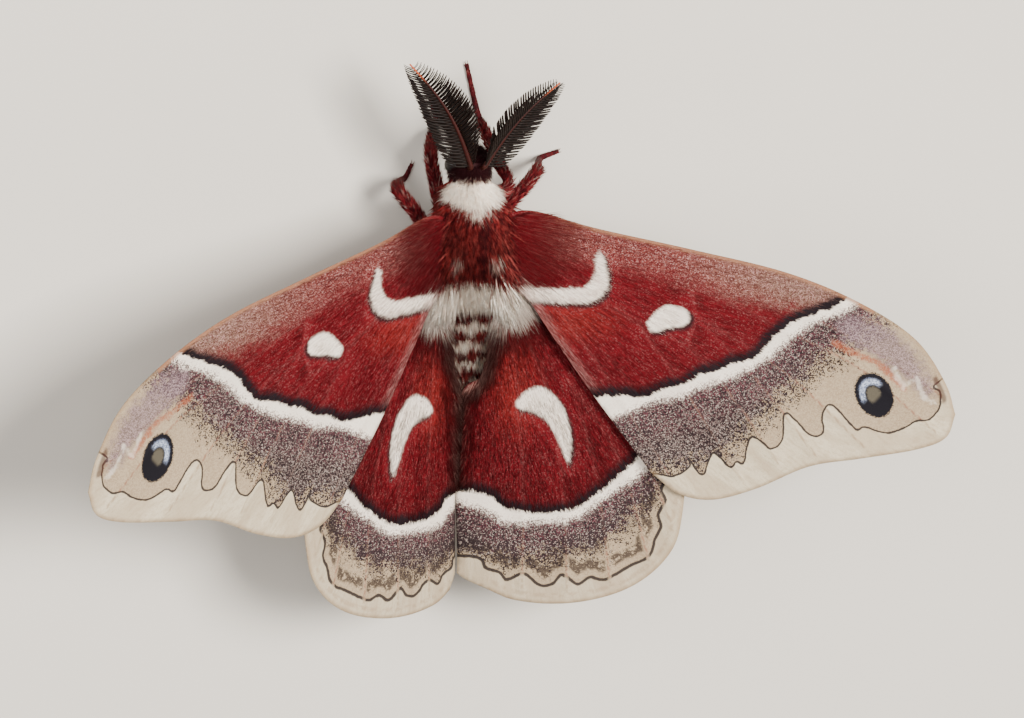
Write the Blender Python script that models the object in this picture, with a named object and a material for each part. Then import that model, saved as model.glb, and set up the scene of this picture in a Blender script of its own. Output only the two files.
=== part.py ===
"""Glover's silkmoth, a male at life size, standing on its six legs with raised wings.

All sizes below are in millimetres, and meshes are turned into metres when a node is
finished. +Y is towards the head, +Z is up and the moth's left is at -X. Heights of the
body are counted from the plane of the wing roots, which lies ROOT_HEIGHT over the floor.
"""

import math
import random

import bmesh
import bpy
import numpy as np
from mathutils import Matrix, Vector
from mathutils.geometry import delaunay_2d_cdt

MM = 0.001
GAP = 0.32
ROOT_HEIGHT = 10.0

# Middle of the whole outline, measured from the body's axis and the wing line.
OUTLINE_MIDDLE = Vector((0.61, 2.63, 0.0))

# The wing sheet: its slope falls from the root outwards.
ROOT_SLOPE = math.radians(25.4)
TIP_SLOPE = math.radians(18.8)
SLOPE_FADE = 13.0
SHEET_REACH = 60.0

WING_THICKNESS = 0.5
VEIN_HEIGHT = 0.16
VEIN_HALF_WIDTH = 0.42
VEIN_STEP = 4.0
EDGE_STEP = 2.6
FILL_STEP = 4.6
FILL_MARGIN = 1.2

# Each wing layer's height over the wing-root plane; the forewing lies on the hindwing.
FOREWING_LAYER = 0.65
HINDWING_LAYER = -0.65

# The left wings are swept back and the right ones forward by these angles.
FOREWING_SWEEP = math.radians(1.6)
HINDWING_SWEEP = math.radians(1.3)
FOREWING_PIVOT = (3.6, 15.3)
HINDWING_PIVOT = (3.15, 7.2)

# Flat wing outlines, outwards and forwards from the middle of the wing line.
FOREWING_COSTA = [(3.4, 16.2), (7.0, 16.8), (14.2, 14.7), (25.0, 12.1), (36.0, 9.2),
                  (44.3, 5.6), (50.8, 1.2), (54.3, -4.0), (55.5, -7.8)]
FOREWING_MARGIN = [(55.5, -7.8), (54.4, -10.5), (51.0, -11.8), (44.5, -12.7), (38.5, -13.5),
                   (32.5, -16.0), (27.5, -17.2), (23.5, -16.4), (20.3, -13.8)]
FOREWING_INNER = [(20.3, -13.8), (14.0, -5.0), (9.2, 2.2), (6.2, 6.8), (3.4, 9.4)]
HINDWING_COSTA = [(3.4, 8.5), (6.5, 7.8), (12.0, 4.8), (18.0, 0.2), (22.5, -5.0),
                  (24.8, -10.0), (25.2, -14.5)]
HINDWING_MARGIN = [(25.2, -14.5), (24.8, -18.8), (23.9, -22.6), (21.5, -25.7), (18.0, -27.9),
                   (13.5, -29.1), (9.0, -29.4), (5.0, -28.9), (2.4, -27.8)]
HINDWING_WAIST = [(1.7, -2.6), (3.0, 1.2), (3.4, 4.6)]

# Where each hindwing's inner margin lies; the two meet left of the body's axis.
INNER_LEFT = 1.25
INNER_RIGHT = -0.8

# The inner margins turn down behind the waist and form a groove over the abdomen.
FOLD_DEPTH = 1.3
FOLD_WIDTH = 4.5
FOLD_START = -2.0
FOLD_LENGTH = 11.0

FOREWING_VEINS = {
    "subcosta": [(6.5, 15.2), (24.0, 10.9), (37.0, 7.5), (47.0, 2.9)],
    "radius": [(6.5, 14.0), (24.0, 8.4), (40.0, 3.4), (54.0, -5.6)],
    "media_1": [(25.0, 7.9), (36.0, 2.4), (44.5, -2.2), (53.2, -9.8)],
    "media_2": [(25.5, 4.4), (36.0, -2.6), (45.0, -11.4)],
    "media_3": [(25.5, 4.4), (33.0, -3.8), (39.3, -12.2)],
    "cubitus": [(6.5, 12.6), (15.0, 6.0), (24.5, 0.8), (30.5, -6.2), (35.0, -13.2)],
    "cubitus_2": [(18.5, 4.2), (25.5, -6.2), (30.7, -14.9)],
    "anal": [(6.0, 10.2), (13.5, 0.2), (22.3, -14.0)],
    "cell_end": [(25.0, 7.9), (25.5, 4.4), (24.5, 0.8)],
}
HINDWING_VEINS = {
    "subcosta": [(6.0, 7.0), (14.0, 1.4), (21.5, -6.6), (24.0, -13.6)],
    "media_1": [(6.0, 6.2), (12.5, -0.6), (19.0, -9.0), (23.4, -19.8)],
    "media_2": [(12.0, -3.4), (17.4, -12.0), (20.9, -24.4)],
    "media_3": [(12.0, -3.4), (14.8, -14.0), (16.4, -26.9)],
    "cubitus": [(5.6, 5.0), (9.0, -3.6), (11.0, -15.0), (11.4, -27.9)],
    "anal": [(5.0, 3.8), (6.0, -6.0), (6.4, -18.0), (6.2, -27.6)],
}

# Body cores as (y, middle height, half width, half height).
THORAX_CORE = [(16.9, -0.4, 3.2, 3.2), (15.2, -0.9, 4.3, 4.2), (12.5, -1.2, 5.0, 4.8),
               (9.5, -1.3, 4.9, 4.7), (7.0, -1.4, 4.5, 4.3), (5.2, -1.5, 3.9, 3.6)]
COLLAR_CORE = [(20.1, 0.1, 2.2, 2.0), (18.8, 0.1, 3.0, 2.7), (17.25, -0.3, 3.3, 3.1)]
ABDOMEN_CORE = [(4.85, -3.1, 4.2, 3.8), (1.0, -3.9, 4.2, 3.6), (-2.3, -4.6, 3.9, 3.4),
                (-6.0, -5.3, 3.5, 3.1), (-10.0, -5.9, 2.9, 2.7), (-13.5, -6.2, 2.0, 2.0),
                (-15.6, -6.4, 0.9, 0.9)]
HEAD_CORE = [(20.45, 0.0, 1.7, 1.7), (21.2, 0.0, 2.2, 2.0), (22.3, -0.1, 2.2, 2.0),
             (23.2, -0.3, 1.6, 1.6), (23.7, -0.4, 0.8, 0.9)]
CORE_SIDES = 20
CORE_RINGS = 2

# Where the thorax, the collar and the abdomen are trimmed, and the size of the trimming block.
THORAX_FRONT = 16.95
COLLAR_BACK = 17.24
ABDOMEN_FRONT = 4.85
TRIM_LENGTH = 8.0
TRIM_HALF_WIDTH = 9.0
TRIM_HEIGHT = 20.0

# Locks of the coat: flat, tapered, bent back along their lie.
LOCK_THICKNESS = 0.55
LOCK_SINK = 0.5
LOCK_STATIONS = (0.0, 0.4, 0.75)
LOCK_WIDTHS = (0.85, 1.0, 0.7)
LOCK_SECTION = ((-1.0, -0.5), (1.0, -0.5), (0.6, 0.5), (-0.6, 0.5))
LOCK_BEND = 0.9

# The back's rows of locks run between the wing roots, and the flanks' rows below them.
BACK_ROWS = (15.7, 13.8, 11.9, 10.0, 8.3)
BACK_ANGLES = (-31, -10, 10, 31)
BACK_LOCK = (3.2, 0.95, 26)
FLANK_ROWS = (14.6, 11.8, 9.0)
FLANK_ANGLES = (78, 100)
FLANK_LOCK = (3.0, 1.0, 20)
SHOULDER_ROWS = (15.0, 13.2, 11.4)
SHOULDER_ANGLE = 40
SHOULDER_LIE = Vector((0.60, -0.72, 0.36))
SHOULDER_LOCK = (3.9, 0.95, 14)
WING_TUFT_ROWS = (9.3, 7.9)
WING_TUFT_LIE = Vector((0.74, -0.58, 0.36))
WING_TUFT_LOCK = (4.4, 0.9, 12)
REAR_ROW = 6.7
REAR_ANGLES = (-50, -30, -10, 10, 30, 50)
REAR_LOCK = (3.0, 0.8, 20)

COLLAR_ROWS = {19.7: (2.0, 0.75, 38), 18.4: (1.7, 0.8, 44)}
COLLAR_ANGLES = range(-108, 109, 27)

ABDOMEN_ROWS = (3.0, 0.1, -3.0, -6.1, -9.1, -12.0)
ABDOMEN_LOCKS_IN_ROW = 9
ABDOMEN_LOCK = (3.3, 1.35, 13)

FRONS_ROW = 23.0
FRONS_ANGLES = (-42, -14, 14, 42)
FRONS_LOCK = (1.5, 0.42, 10)
PALP_ANGLES = (-155, 155)
PALP_LOCK = (2.1, 0.45, 24)

EYE_RADIUS = 1.0
EYE_PLACE = Vector((1.95, 22.0, -0.3))
EYE_SIDES = 16

# Antennae: the shaft's root and tip, and how far the blade is turned outwards.
ANTENNA_FOOT = Vector((0.7, 21.6, 1.2))
ANTENNA_ROOT = Vector((0.8, 22.0, 2.6))
ANTENNA_TIPS = {"left": Vector((-8.8, 34.2, 3.6)), "right": Vector((9.5, 31.5, 3.6))}
ANTENNA_BOW = 1.0
ANTENNA_TURN = math.radians(36.0)
SHAFT_RADIUS = 0.42
SHAFT_THICK_END = 1.15
SHAFT_TAPER = 0.55
SHAFT_STEPS = 12
SHAFT_SIDES = 6

# The blade's outline is a skewed half wave along the shaft.
BLADE_HALF_WIDTH = 3.2
BLADE_START = 0.15
BLADE_SPAN = 0.82
BLADE_SKEW = 0.78
BLADE_FULLNESS = 0.7
VANE_COUNT = 13
VANE_FIRST = 0.1
VANE_SPAN = 0.8
VANE_LEAN = {"outer": math.radians(61.0), "inner": math.radians(79.0)}
VANE_THICKNESS = 0.5
VANE_STATIONS = ((0.0, 1.0), (0.5, 0.95), (0.85, 0.7))

# Legs as (x, y, height over the floor, radius) from the hip to the toe.
LEGS = {
    "leg_front_left": [(-1.6, 15.6, 5.0, 0.9), (-2.0, 18.6, 4.7, 0.9), (-3.0, 22.0, 5.5, 0.75),
                       (-2.2, 23.6, 3.6, 0.75), (-1.2, 24.8, 1.6, 0.55), (-0.5, 25.8, 0.3, 0.45),
                       (-1.3, 28.8, 0.18, 0.42)],
    "leg_front_right": [(1.6, 15.6, 5.0, 0.9), (4.0, 17.2, 5.4, 0.9), (6.2, 18.8, 6.0, 0.75),
                        (5.5, 21.8, 4.2, 0.75), (5.1, 24.2, 2.0, 0.55), (4.6, 26.6, 0.3, 0.45),
                        (3.2, 32.2, 0.18, 0.42)],
    "leg_mid_left": [(-2.2, 12.4, 4.4, 0.9), (-5.0, 16.0, 6.0, 0.9), (-7.0, 18.4, 6.3, 0.75),
                     (-6.4, 19.0, 3.8, 0.75), (-5.2, 19.2, 1.6, 0.55), (-4.2, 19.3, 0.3, 0.45),
                     (-3.4, 20.8, 0.18, 0.42)],
    "leg_mid_right": [(2.2, 12.4, 4.4, 0.9), (6.2, 16.2, 5.6, 0.9), (9.6, 19.6, 5.6, 0.75),
                      (11.0, 20.4, 3.4, 0.75), (12.0, 20.8, 1.4, 0.55), (12.8, 21.0, 0.3, 0.45),
                      (14.8, 21.6, 0.18, 0.42)],
    "leg_hind_left": [(-2.4, 8.6, 4.6, 0.9), (-7.0, 5.4, 6.2, 0.9), (-9.8, 2.4, 6.6, 0.75),
                      (-11.0, -2.4, 3.6, 0.75), (-11.8, -5.8, 1.4, 0.55), (-12.2, -7.4, 0.3, 0.45),
                      (-13.2, -11.6, 0.18, 0.42)],
    "leg_hind_right": [(2.4, 8.6, 4.6, 0.9), (7.0, 5.4, 6.2, 0.9), (9.8, 2.4, 6.6, 0.75),
                       (11.0, -2.4, 3.6, 0.75), (11.8, -5.8, 1.4, 0.55), (12.2, -7.4, 0.3, 0.45),
                       (13.2, -11.6, 0.18, 0.42)],
}
LEG_SIDES = 8
LEG_STEPS = 2

COLOURS = {
    "wing": ((0.42, 0.10, 0.09), 0.8),
    "fur": ((0.36, 0.05, 0.04), 0.9),
    "cream": ((0.80, 0.72, 0.64), 0.9),
    "abdomen": ((0.50, 0.16, 0.12), 0.9),
    "eye": ((0.03, 0.02, 0.02), 0.25),
    "antenna": ((0.10, 0.05, 0.04), 0.6),
    "leg": ((0.40, 0.04, 0.06), 0.8),
}


def smooth_line(points, steps):
    """A Catmull-Rom line through the points, with `steps` pieces to a span."""
    control = [np.array(p, float) for p in points]
    control = [2 * control[0] - control[1]] + control + [2 * control[-1] - control[-2]]
    line = []
    for a, b, c, d in zip(control, control[1:], control[2:], control[3:]):
        for step in range(steps):
            t = step / steps
            line.append(0.5 * (2 * b + (c - a) * t + (2 * a - 5 * b + 4 * c - d) * t * t
                               + (3 * b - a - 3 * c + d) * t ** 3))
    line.append(control[-2])
    return np.array(line)


def evenly(line, step):
    """The same line with points about `step` apart."""
    lengths = np.linalg.norm(np.diff(line, axis=0), axis=1)
    run = np.concatenate([[0.0], np.cumsum(lengths)])
    count = max(2, round(run[-1] / step) + 1)
    at = np.linspace(0.0, run[-1], count)
    return np.column_stack([np.interp(at, run, line[:, i]) for i in range(line.shape[1])])


def sheet_section(u):
    """Place across and height of the wing sheet at a distance u from the axis."""
    run = np.linspace(0.0, SHEET_REACH, 601)
    slope = TIP_SLOPE + (ROOT_SLOPE - TIP_SLOPE) * np.exp(-run / SLOPE_FADE)
    step = run[1] - run[0]
    across = np.concatenate([[0.0], np.cumsum(np.cos(slope[:-1]) * step)])
    height = np.concatenate([[0.0], np.cumsum(np.sin(slope[:-1]) * step)])
    if u < 0:
        return u * math.cos(ROOT_SLOPE), u * math.sin(ROOT_SLOPE), ROOT_SLOPE
    return np.interp(u, run, across), np.interp(u, run, height), np.interp(u, run, slope)


def turned(point, angle, pivot):
    """A flat point turned about the wing's pivot."""
    u, v = point[0] - pivot[0], point[1] - pivot[1]
    c, s = math.cos(angle), math.sin(angle)
    return pivot[0] + c * u - s * v, pivot[1] + s * u + c * v


def fold_drop(u, v, inner):
    """How far the hindwing's inner margin is turned down at a flat point."""
    along = min(1.0, max(0.0, (FOLD_START - v) / FOLD_LENGTH))
    near = max(0.0, 1.0 - (u - inner) / FOLD_WIDTH)
    return FOLD_DEPTH * along * along * (3 - 2 * along) * near * near


def wing_spec(kind, side):
    """Outline, veins and placing of one wing."""
    if kind == "forewing":
        edge = [FOREWING_COSTA, FOREWING_MARGIN, FOREWING_INNER]
        return edge, FOREWING_VEINS, FOREWING_LAYER, FOREWING_SWEEP, FOREWING_PIVOT, None
    inner = INNER_LEFT if side == "left" else INNER_RIGHT
    margin = [(2.4, -27.8), (inner + 0.15, -26.2), (inner, -24.0), (inner, -6.0)]
    edge = [HINDWING_COSTA, HINDWING_MARGIN, margin + HINDWING_WAIST]
    return edge, HINDWING_VEINS, HINDWING_LAYER, HINDWING_SWEEP, HINDWING_PIVOT, inner


def place_wing_point(point, side, spec, offset):
    """World place of a flat wing point, `offset` over the sheet along its normal."""
    layer, sweep, pivot, inner = spec[2:]
    drop = 0.0 if inner is None else fold_drop(point[0], point[1], inner)
    u, v = turned(point, -sweep if side == "left" else sweep, pivot)
    across, height, slope = sheet_section(u)
    sign = -1.0 if side == "left" else 1.0
    x = sign * (across - offset * math.sin(slope))
    z = ROOT_HEIGHT + layer + height - drop + offset * math.cos(slope)
    return Vector((x, v, z))


def outline_of(spec, step):
    """The wing's closed flat outline, without its repeated last point."""
    runs = [evenly(smooth_line(run, 6), step) for run in spec[0]]
    return np.vstack([run[:-1] for run in runs] + [runs[-1][-1:]])


def distance_to_line(point, line):
    """Shortest distance from a flat point to an open line."""
    start, end = line[:-1], line[1:]
    along = end - start
    t = ((point - start) * along).sum(1) / np.maximum((along ** 2).sum(1), 1e-9)
    near = start + along * np.clip(t, 0.0, 1.0)[:, None]
    return np.linalg.norm(near - point, axis=1).min()


def fill_points(outline, veins):
    """Flat points spread inside the wing, clear of its edge and veins."""
    closed = np.vstack([outline, outline[:1]])
    low, high = outline.min(0), outline.max(0)
    points = []
    for row, v in enumerate(np.arange(low[1], high[1], FILL_STEP * 0.87)):
        for u in np.arange(low[0] + (row % 2) * FILL_STEP / 2, high[0], FILL_STEP):
            point = np.array((u, v))
            lines = [closed] + veins
            if min(distance_to_line(point, line) for line in lines) > FILL_MARGIN:
                points.append((u, v))
    return points


def vein_lines(spec):
    """Centre lines of the wing's veins."""
    return [evenly(smooth_line(points, 6), VEIN_STEP) for points in spec[1].values()]


def flat_wing_mesh(spec, with_veins):
    """Triangles of the flat wing with its vein lines as edges, and ridge heights."""
    outline = outline_of(spec, EDGE_STEP)
    points = [tuple(p) for p in outline]
    face = list(range(len(points)))
    veins = vein_lines(spec) if with_veins else []
    edges = []
    for line in veins:
        along = np.gradient(line, axis=0)
        along /= np.linalg.norm(along, axis=1)[:, None]
        across = np.column_stack([-along[:, 1], along[:, 0]]) * VEIN_HALF_WIDTH
        for track in (line - across, line, line + across):
            first = len(points)
            points += [tuple(p) for p in track]
            edges += [(first + i, first + i + 1) for i in range(len(track) - 1)]
    points += fill_points(outline, veins)
    vectors = [Vector(p) for p in points]
    result = delaunay_2d_cdt(vectors, edges, [face], 1, 1e-4)
    flat, triangles = result[0], result[2]
    heights = []
    for point in flat:
        near = min([distance_to_line(np.array(point), line) for line in veins] or [99.0])
        heights.append(VEIN_HEIGHT * max(0.0, 1.0 - near / VEIN_HALF_WIDTH))
    return flat, triangles, heights


def boundary_edges(triangles):
    """Directed edges that only one triangle has."""
    directed = {(t[i], t[(i + 1) % 3]) for t in triangles for i in range(3)}
    return [edge for edge in directed if (edge[1], edge[0]) not in directed]


def wing_solid(name, kind, side, grow=0.0, with_veins=True):
    """One wing as a closed plate; a grown one without veins clears its neighbours."""
    spec = wing_spec(kind, side)
    flat, triangles, heights = flat_wing_mesh(spec, with_veins)
    middle = np.array([tuple(p) for p in flat]).mean(0)
    verts = []
    for sign in (1.0, -1.0):
        for point, height in zip(flat, heights):
            out = np.array(point) - middle
            stretched = np.array(point) + out / max(np.linalg.norm(out), 1e-6) * grow
            offset = sign * (WING_THICKNESS / 2 + height + grow)
            verts.append(place_wing_point(stretched, side, spec, offset))
    count = len(flat)
    faces = [tuple(t) for t in triangles]
    faces += [tuple(count + i for i in reversed(t)) for t in triangles]
    for a, b in boundary_edges(triangles):
        faces.append((b, a, count + a))
        faces.append((b, count + a, count + b))
    return closed_object(name, verts, faces)


def closed_object(name, verts, faces):
    """A mesh object whose faces all point out."""
    mesh = bpy.data.meshes.new(name)
    mesh.from_pydata([tuple(v) for v in verts], [], faces)
    work = bmesh.new()
    work.from_mesh(mesh)
    bmesh.ops.triangulate(work, faces=work.faces)
    bmesh.ops.recalc_face_normals(work, faces=work.faces)
    if work.calc_volume(signed=True) < 0:
        bmesh.ops.reverse_faces(work, faces=work.faces)
    work.to_mesh(mesh)
    work.free()
    obj = bpy.data.objects.new(name, mesh)
    bpy.context.scene.collection.objects.link(obj)
    return obj


def ring_faces(rings, sides):
    """Faces of a run of rings, closed at both ends."""
    faces = []
    for r in range(rings - 1):
        for s in range(sides):
            a, b = r * sides + s, r * sides + (s + 1) % sides
            faces.append((a, b, b + sides, a + sides))
    faces.append(tuple(reversed(range(sides))))
    faces.append(tuple(range((rings - 1) * sides, rings * sides)))
    return faces


def core_solid(name, sections, grow=0.0):
    """A body core through elliptical sections, grown by a margin where asked."""
    line = smooth_line(sections, CORE_RINGS)
    ends = math.copysign(grow, line[0][0] - line[-1][0])
    line[0][0] += ends
    line[-1][0] -= ends
    verts = []
    for y, middle, width, depth in line:
        for s in range(CORE_SIDES):
            angle = 2 * math.pi * s / CORE_SIDES
            x = (width + grow) * math.sin(angle)
            z = middle + (depth + grow) * math.cos(angle)
            verts.append((x, y, ROOT_HEIGHT + z))
    return closed_object(name, verts, ring_faces(len(line), CORE_SIDES))


def tube_solid(path, radii, sides):
    """A round limb along a path, with a radius at each point."""
    path = [Vector(p) for p in path]
    verts = []
    side = None
    for i, centre in enumerate(path):
        along = (path[min(i + 1, len(path) - 1)] - path[max(i - 1, 0)]).normalized()
        side = along.cross(Vector((0, 0, 1))) if side is None else side - along * side.dot(along)
        side.normalize()
        other = along.cross(side)
        for s in range(sides):
            angle = 2 * math.pi * (s + 0.5) / sides
            verts.append(centre + (side * math.cos(angle) + other * math.sin(angle)) * radii[i])
    return verts, ring_faces(len(path), sides)


def core_place(sections, y, degrees):
    """Point and outward normal on a body core, with the angle counted from its top."""
    line = smooth_line(sections, CORE_RINGS)[::-1]
    middle, width, depth = [np.interp(y, line[:, 0], line[:, i]) for i in (1, 2, 3)]
    angle = math.radians(degrees)
    point = Vector((width * math.sin(angle), y, ROOT_HEIGHT + middle + depth * math.cos(angle)))
    normal = Vector((math.sin(angle) / width, 0.0, math.cos(angle) / depth)).normalized()
    return point, normal


def lock_solid(place, lie, shape):
    """A flat, tapered lock that leaves the skin at its lift and bends back along its lie."""
    root, normal = place
    length, half_width, lift = shape
    lie = (lie - normal * lie.dot(normal)).normalized()
    side = lie.cross(normal)
    centre = root - normal * LOCK_SINK
    verts = []
    before = 0.0
    for station, width in zip(LOCK_STATIONS, LOCK_WIDTHS):
        angle = math.radians(lift) * (1.0 - LOCK_BEND * station)
        centre = centre + (lie * math.cos(angle) + normal * math.sin(angle)) * length * (
            station - before)
        up = normal * math.cos(angle) - lie * math.sin(angle)
        before = station
        for across, over in LOCK_SECTION:
            verts.append(centre + side * across * half_width * width
                         + up * over * LOCK_THICKNESS)
        if station == 0.0:
            centre = root + normal * (LOCK_THICKNESS * 0.2)
    verts.append(centre + lie * length * (1.0 - before))
    faces = [(0, 3, 2, 1)]
    for ring in (0, 4):
        faces += [(ring + s, ring + (s + 1) % 4, ring + 4 + (s + 1) % 4, ring + 4 + s)
                  for s in range(4)]
    faces += [(8 + s, 8 + (s + 1) % 4, 12) for s in range(4)]
    return closed_object("lock", verts, faces)


def varied(shape, chance):
    """A lock's shape, a little longer or shorter and more or less lifted."""
    length, half_width, lift = shape
    return length * chance.uniform(0.9, 1.1), half_width, lift * chance.uniform(0.85, 1.15)


def apply_boolean(obj, operation, operands):
    """Joins or cuts with all operands at once, and removes them."""
    group = bpy.data.collections.new(obj.name + "_operands")
    bpy.context.scene.collection.children.link(group)
    for operand in operands:
        bpy.context.scene.collection.objects.unlink(operand)
        group.objects.link(operand)
    modifier = obj.modifiers.new("Join", "BOOLEAN")
    modifier.operation = operation
    modifier.operand_type = "COLLECTION"
    modifier.collection = group
    modifier.solver = "MANIFOLD"
    graph = bpy.context.evaluated_depsgraph_get()
    result = bpy.data.meshes.new_from_object(obj.evaluated_get(graph))
    obj.modifiers.clear()
    obj.data = result
    for operand in operands:
        bpy.data.objects.remove(operand)
    bpy.data.collections.remove(group)
    return obj


def keep_largest(obj):
    """Drops every closed surface of the node but the largest."""
    work = bmesh.new()
    work.from_mesh(obj.data)
    left = set(work.faces)
    groups = []
    while left:
        stack = [left.pop()]
        group = list(stack)
        while stack:
            for edge in stack.pop().edges:
                for face in edge.link_faces:
                    if face in left:
                        left.remove(face)
                        stack.append(face)
                        group.append(face)
        groups.append(group)
    groups.sort(key=lambda g: sum(face.calc_area() for face in g))
    loose = [face for group in groups[:-1] for face in group]
    bmesh.ops.delete(work, geom=loose, context="FACES")
    work.to_mesh(obj.data)
    work.free()


def material_of(slot):
    """The Principled material of a slot, made once."""
    if slot in bpy.data.materials:
        return bpy.data.materials[slot]
    colour, roughness = COLOURS[slot]
    material = bpy.data.materials.new(slot)
    material.use_nodes = True
    shader = material.node_tree.nodes["Principled BSDF"]
    shader.inputs["Base Color"].default_value = (*colour, 1.0)
    shader.inputs["Roughness"].default_value = roughness
    shader.inputs["Metallic"].default_value = 0.0
    return material


def finish_node(obj, slot):
    """Keeps one closed surface, moves it to the origin and turns it into metres."""
    keep_largest(obj)
    obj.data.transform(Matrix.Scale(MM, 4) @ Matrix.Translation(-OUTLINE_MIDDLE))
    obj.data.materials.clear()
    obj.data.materials.append(material_of(slot))
    obj.data.shade_smooth()
    obj.data.set_sharp_from_angle(angle=math.radians(40.0))
    return obj


def wing_cutters(grow):
    """Both pairs of wings, grown, to clear the body round their roots."""
    return [wing_solid("cut", kind, side, grow, False)
            for kind in ("forewing", "hindwing") for side in ("left", "right")]


def build_wings():
    """The four wings, each with its raised veins."""
    for kind in ("forewing", "hindwing"):
        for side in ("left", "right"):
            finish_node(wing_solid(f"{kind}_{side}", kind, side), "wing")


def thorax_locks(chance):
    """Locks of the back, flanks, shoulders, wing bases and rear edge of the thorax."""
    rearward = Vector((0.0, -1.0, 0.0))
    plan = []
    for row, y in enumerate(BACK_ROWS):
        shift = 5 if row % 2 else -5
        plan += [(y, angle + shift, rearward, BACK_LOCK) for angle in BACK_ANGLES]
    for sign in (-1, 1):
        mirror = Vector((sign, 1.0, 1.0))
        plan += [(y, sign * angle, rearward, FLANK_LOCK)
                 for y in FLANK_ROWS for angle in FLANK_ANGLES]
        plan += [(y, sign * SHOULDER_ANGLE, SHOULDER_LIE * mirror, SHOULDER_LOCK)
                 for y in SHOULDER_ROWS]
        plan += [(y, sign * SHOULDER_ANGLE, WING_TUFT_LIE * mirror, WING_TUFT_LOCK)
                 for y in WING_TUFT_ROWS]
    plan += [(REAR_ROW, angle, rearward, REAR_LOCK) for angle in REAR_ANGLES]
    return [lock_solid(core_place(THORAX_CORE, y, angle), lie, varied(shape, chance))
            for y, angle, lie, shape in plan]


def trim_block(y0, y1):
    """A plain block over the whole width and height of the body between two places."""
    verts = [(x, y, z) for x in (-TRIM_HALF_WIDTH, TRIM_HALF_WIDTH) for y in (y0, y1)
             for z in (0.0, TRIM_HEIGHT)]
    faces = [(0, 1, 3, 2), (4, 6, 7, 5), (0, 4, 5, 1), (2, 3, 7, 6), (0, 2, 6, 4), (1, 5, 7, 3)]
    return closed_object("cut", verts, faces)


def build_thorax(chance):
    """The furred thorax with slots for the wing roots."""
    thorax = core_solid("thorax", THORAX_CORE)
    apply_boolean(thorax, "UNION", thorax_locks(chance))
    cutters = wing_cutters(GAP) + [core_solid("cut", ABDOMEN_CORE, GAP),
                                   trim_block(THORAX_FRONT, THORAX_FRONT + TRIM_LENGTH)]
    finish_node(apply_boolean(thorax, "DIFFERENCE", cutters), "fur")


def build_collar(chance):
    """The pale collar between the head and the thorax."""
    rearward = Vector((0.0, -1.0, 0.0))
    locks = [lock_solid(core_place(COLLAR_CORE, y, angle), rearward, varied(shape, chance))
             for y, shape in COLLAR_ROWS.items() for angle in COLLAR_ANGLES]
    collar = apply_boolean(core_solid("collar", COLLAR_CORE), "UNION", locks)
    cutters = [trim_block(COLLAR_BACK - TRIM_LENGTH, COLLAR_BACK)]
    finish_node(apply_boolean(collar, "DIFFERENCE", cutters), "cream")


def build_abdomen(chance):
    """The tapering abdomen under the hindwings, with a fringe on each segment."""
    locks = []
    rearward = Vector((0.0, -1.0, 0.0))
    turn = 360 / ABDOMEN_LOCKS_IN_ROW
    for row, y in enumerate(ABDOMEN_ROWS):
        length, half_width, lift = ABDOMEN_LOCK
        scale = core_place(ABDOMEN_CORE, y, 90)[0].x / ABDOMEN_CORE[0][2]
        shape = varied((length * (0.5 + 0.5 * scale), half_width * scale, lift), chance)
        locks += [lock_solid(core_place(ABDOMEN_CORE, y, (i + row % 2 / 2) * turn), rearward, shape)
                  for i in range(ABDOMEN_LOCKS_IN_ROW)]
    abdomen = apply_boolean(core_solid("abdomen", ABDOMEN_CORE), "UNION", locks)
    cutters = wing_cutters(GAP) + [trim_block(ABDOMEN_FRONT, ABDOMEN_FRONT + TRIM_LENGTH)]
    finish_node(apply_boolean(abdomen, "DIFFERENCE", cutters), "abdomen")


def eye_solid(name, side, grow=0.0):
    """One compound eye."""
    work = bmesh.new()
    bmesh.ops.create_uvsphere(work, u_segments=EYE_SIDES, v_segments=EYE_SIDES // 2 + 2,
                              radius=EYE_RADIUS + grow)
    place = Vector((side * EYE_PLACE.x, EYE_PLACE.y, ROOT_HEIGHT + EYE_PLACE.z))
    verts = [v.co + place for v in work.verts]
    faces = [tuple(v.index for v in f.verts) for f in work.faces]
    work.free()
    return closed_object(name, verts, faces)


def build_head(chance):
    """The head with its face tuft and palps, and two eyes in their sockets."""
    forward = Vector((0.0, 1.0, -0.25))
    locks = [lock_solid(core_place(HEAD_CORE, FRONS_ROW, angle), forward, varied(shape, chance))
             for angles, shape in ((FRONS_ANGLES, FRONS_LOCK), (PALP_ANGLES, PALP_LOCK))
             for angle in angles]
    head = apply_boolean(core_solid("head", HEAD_CORE), "UNION", locks)
    sockets = [eye_solid("cut", side, GAP) for side in (-1, 1)]
    apply_boolean(head, "DIFFERENCE", sockets)
    finish_node(head, "fur")
    finish_node(eye_solid("eye_left", -1), "eye")
    finish_node(eye_solid("eye_right", 1), "eye")


def shaft_line(side):
    """Points of one antenna's bowed shaft and the frame of its blade."""
    sign = -1.0 if side == "left" else 1.0
    root = Vector((sign * ANTENNA_ROOT.x, ANTENNA_ROOT.y, ROOT_HEIGHT + ANTENNA_ROOT.z))
    tip = ANTENNA_TIPS[side] + Vector((0, 0, ROOT_HEIGHT))
    along = (tip - root).normalized()
    normal = Vector((sign * math.sin(ANTENNA_TURN), 0.0, math.cos(ANTENNA_TURN)))
    normal = (normal - along * normal.dot(along)).normalized()
    across = along.cross(normal) * sign
    points = []
    for step in range(SHAFT_STEPS + 1):
        t = step / SHAFT_STEPS
        bow = -ANTENNA_BOW * math.sin(math.pi * t)
        points.append(root.lerp(tip, t) + across * bow)
    return points, normal, across


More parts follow.
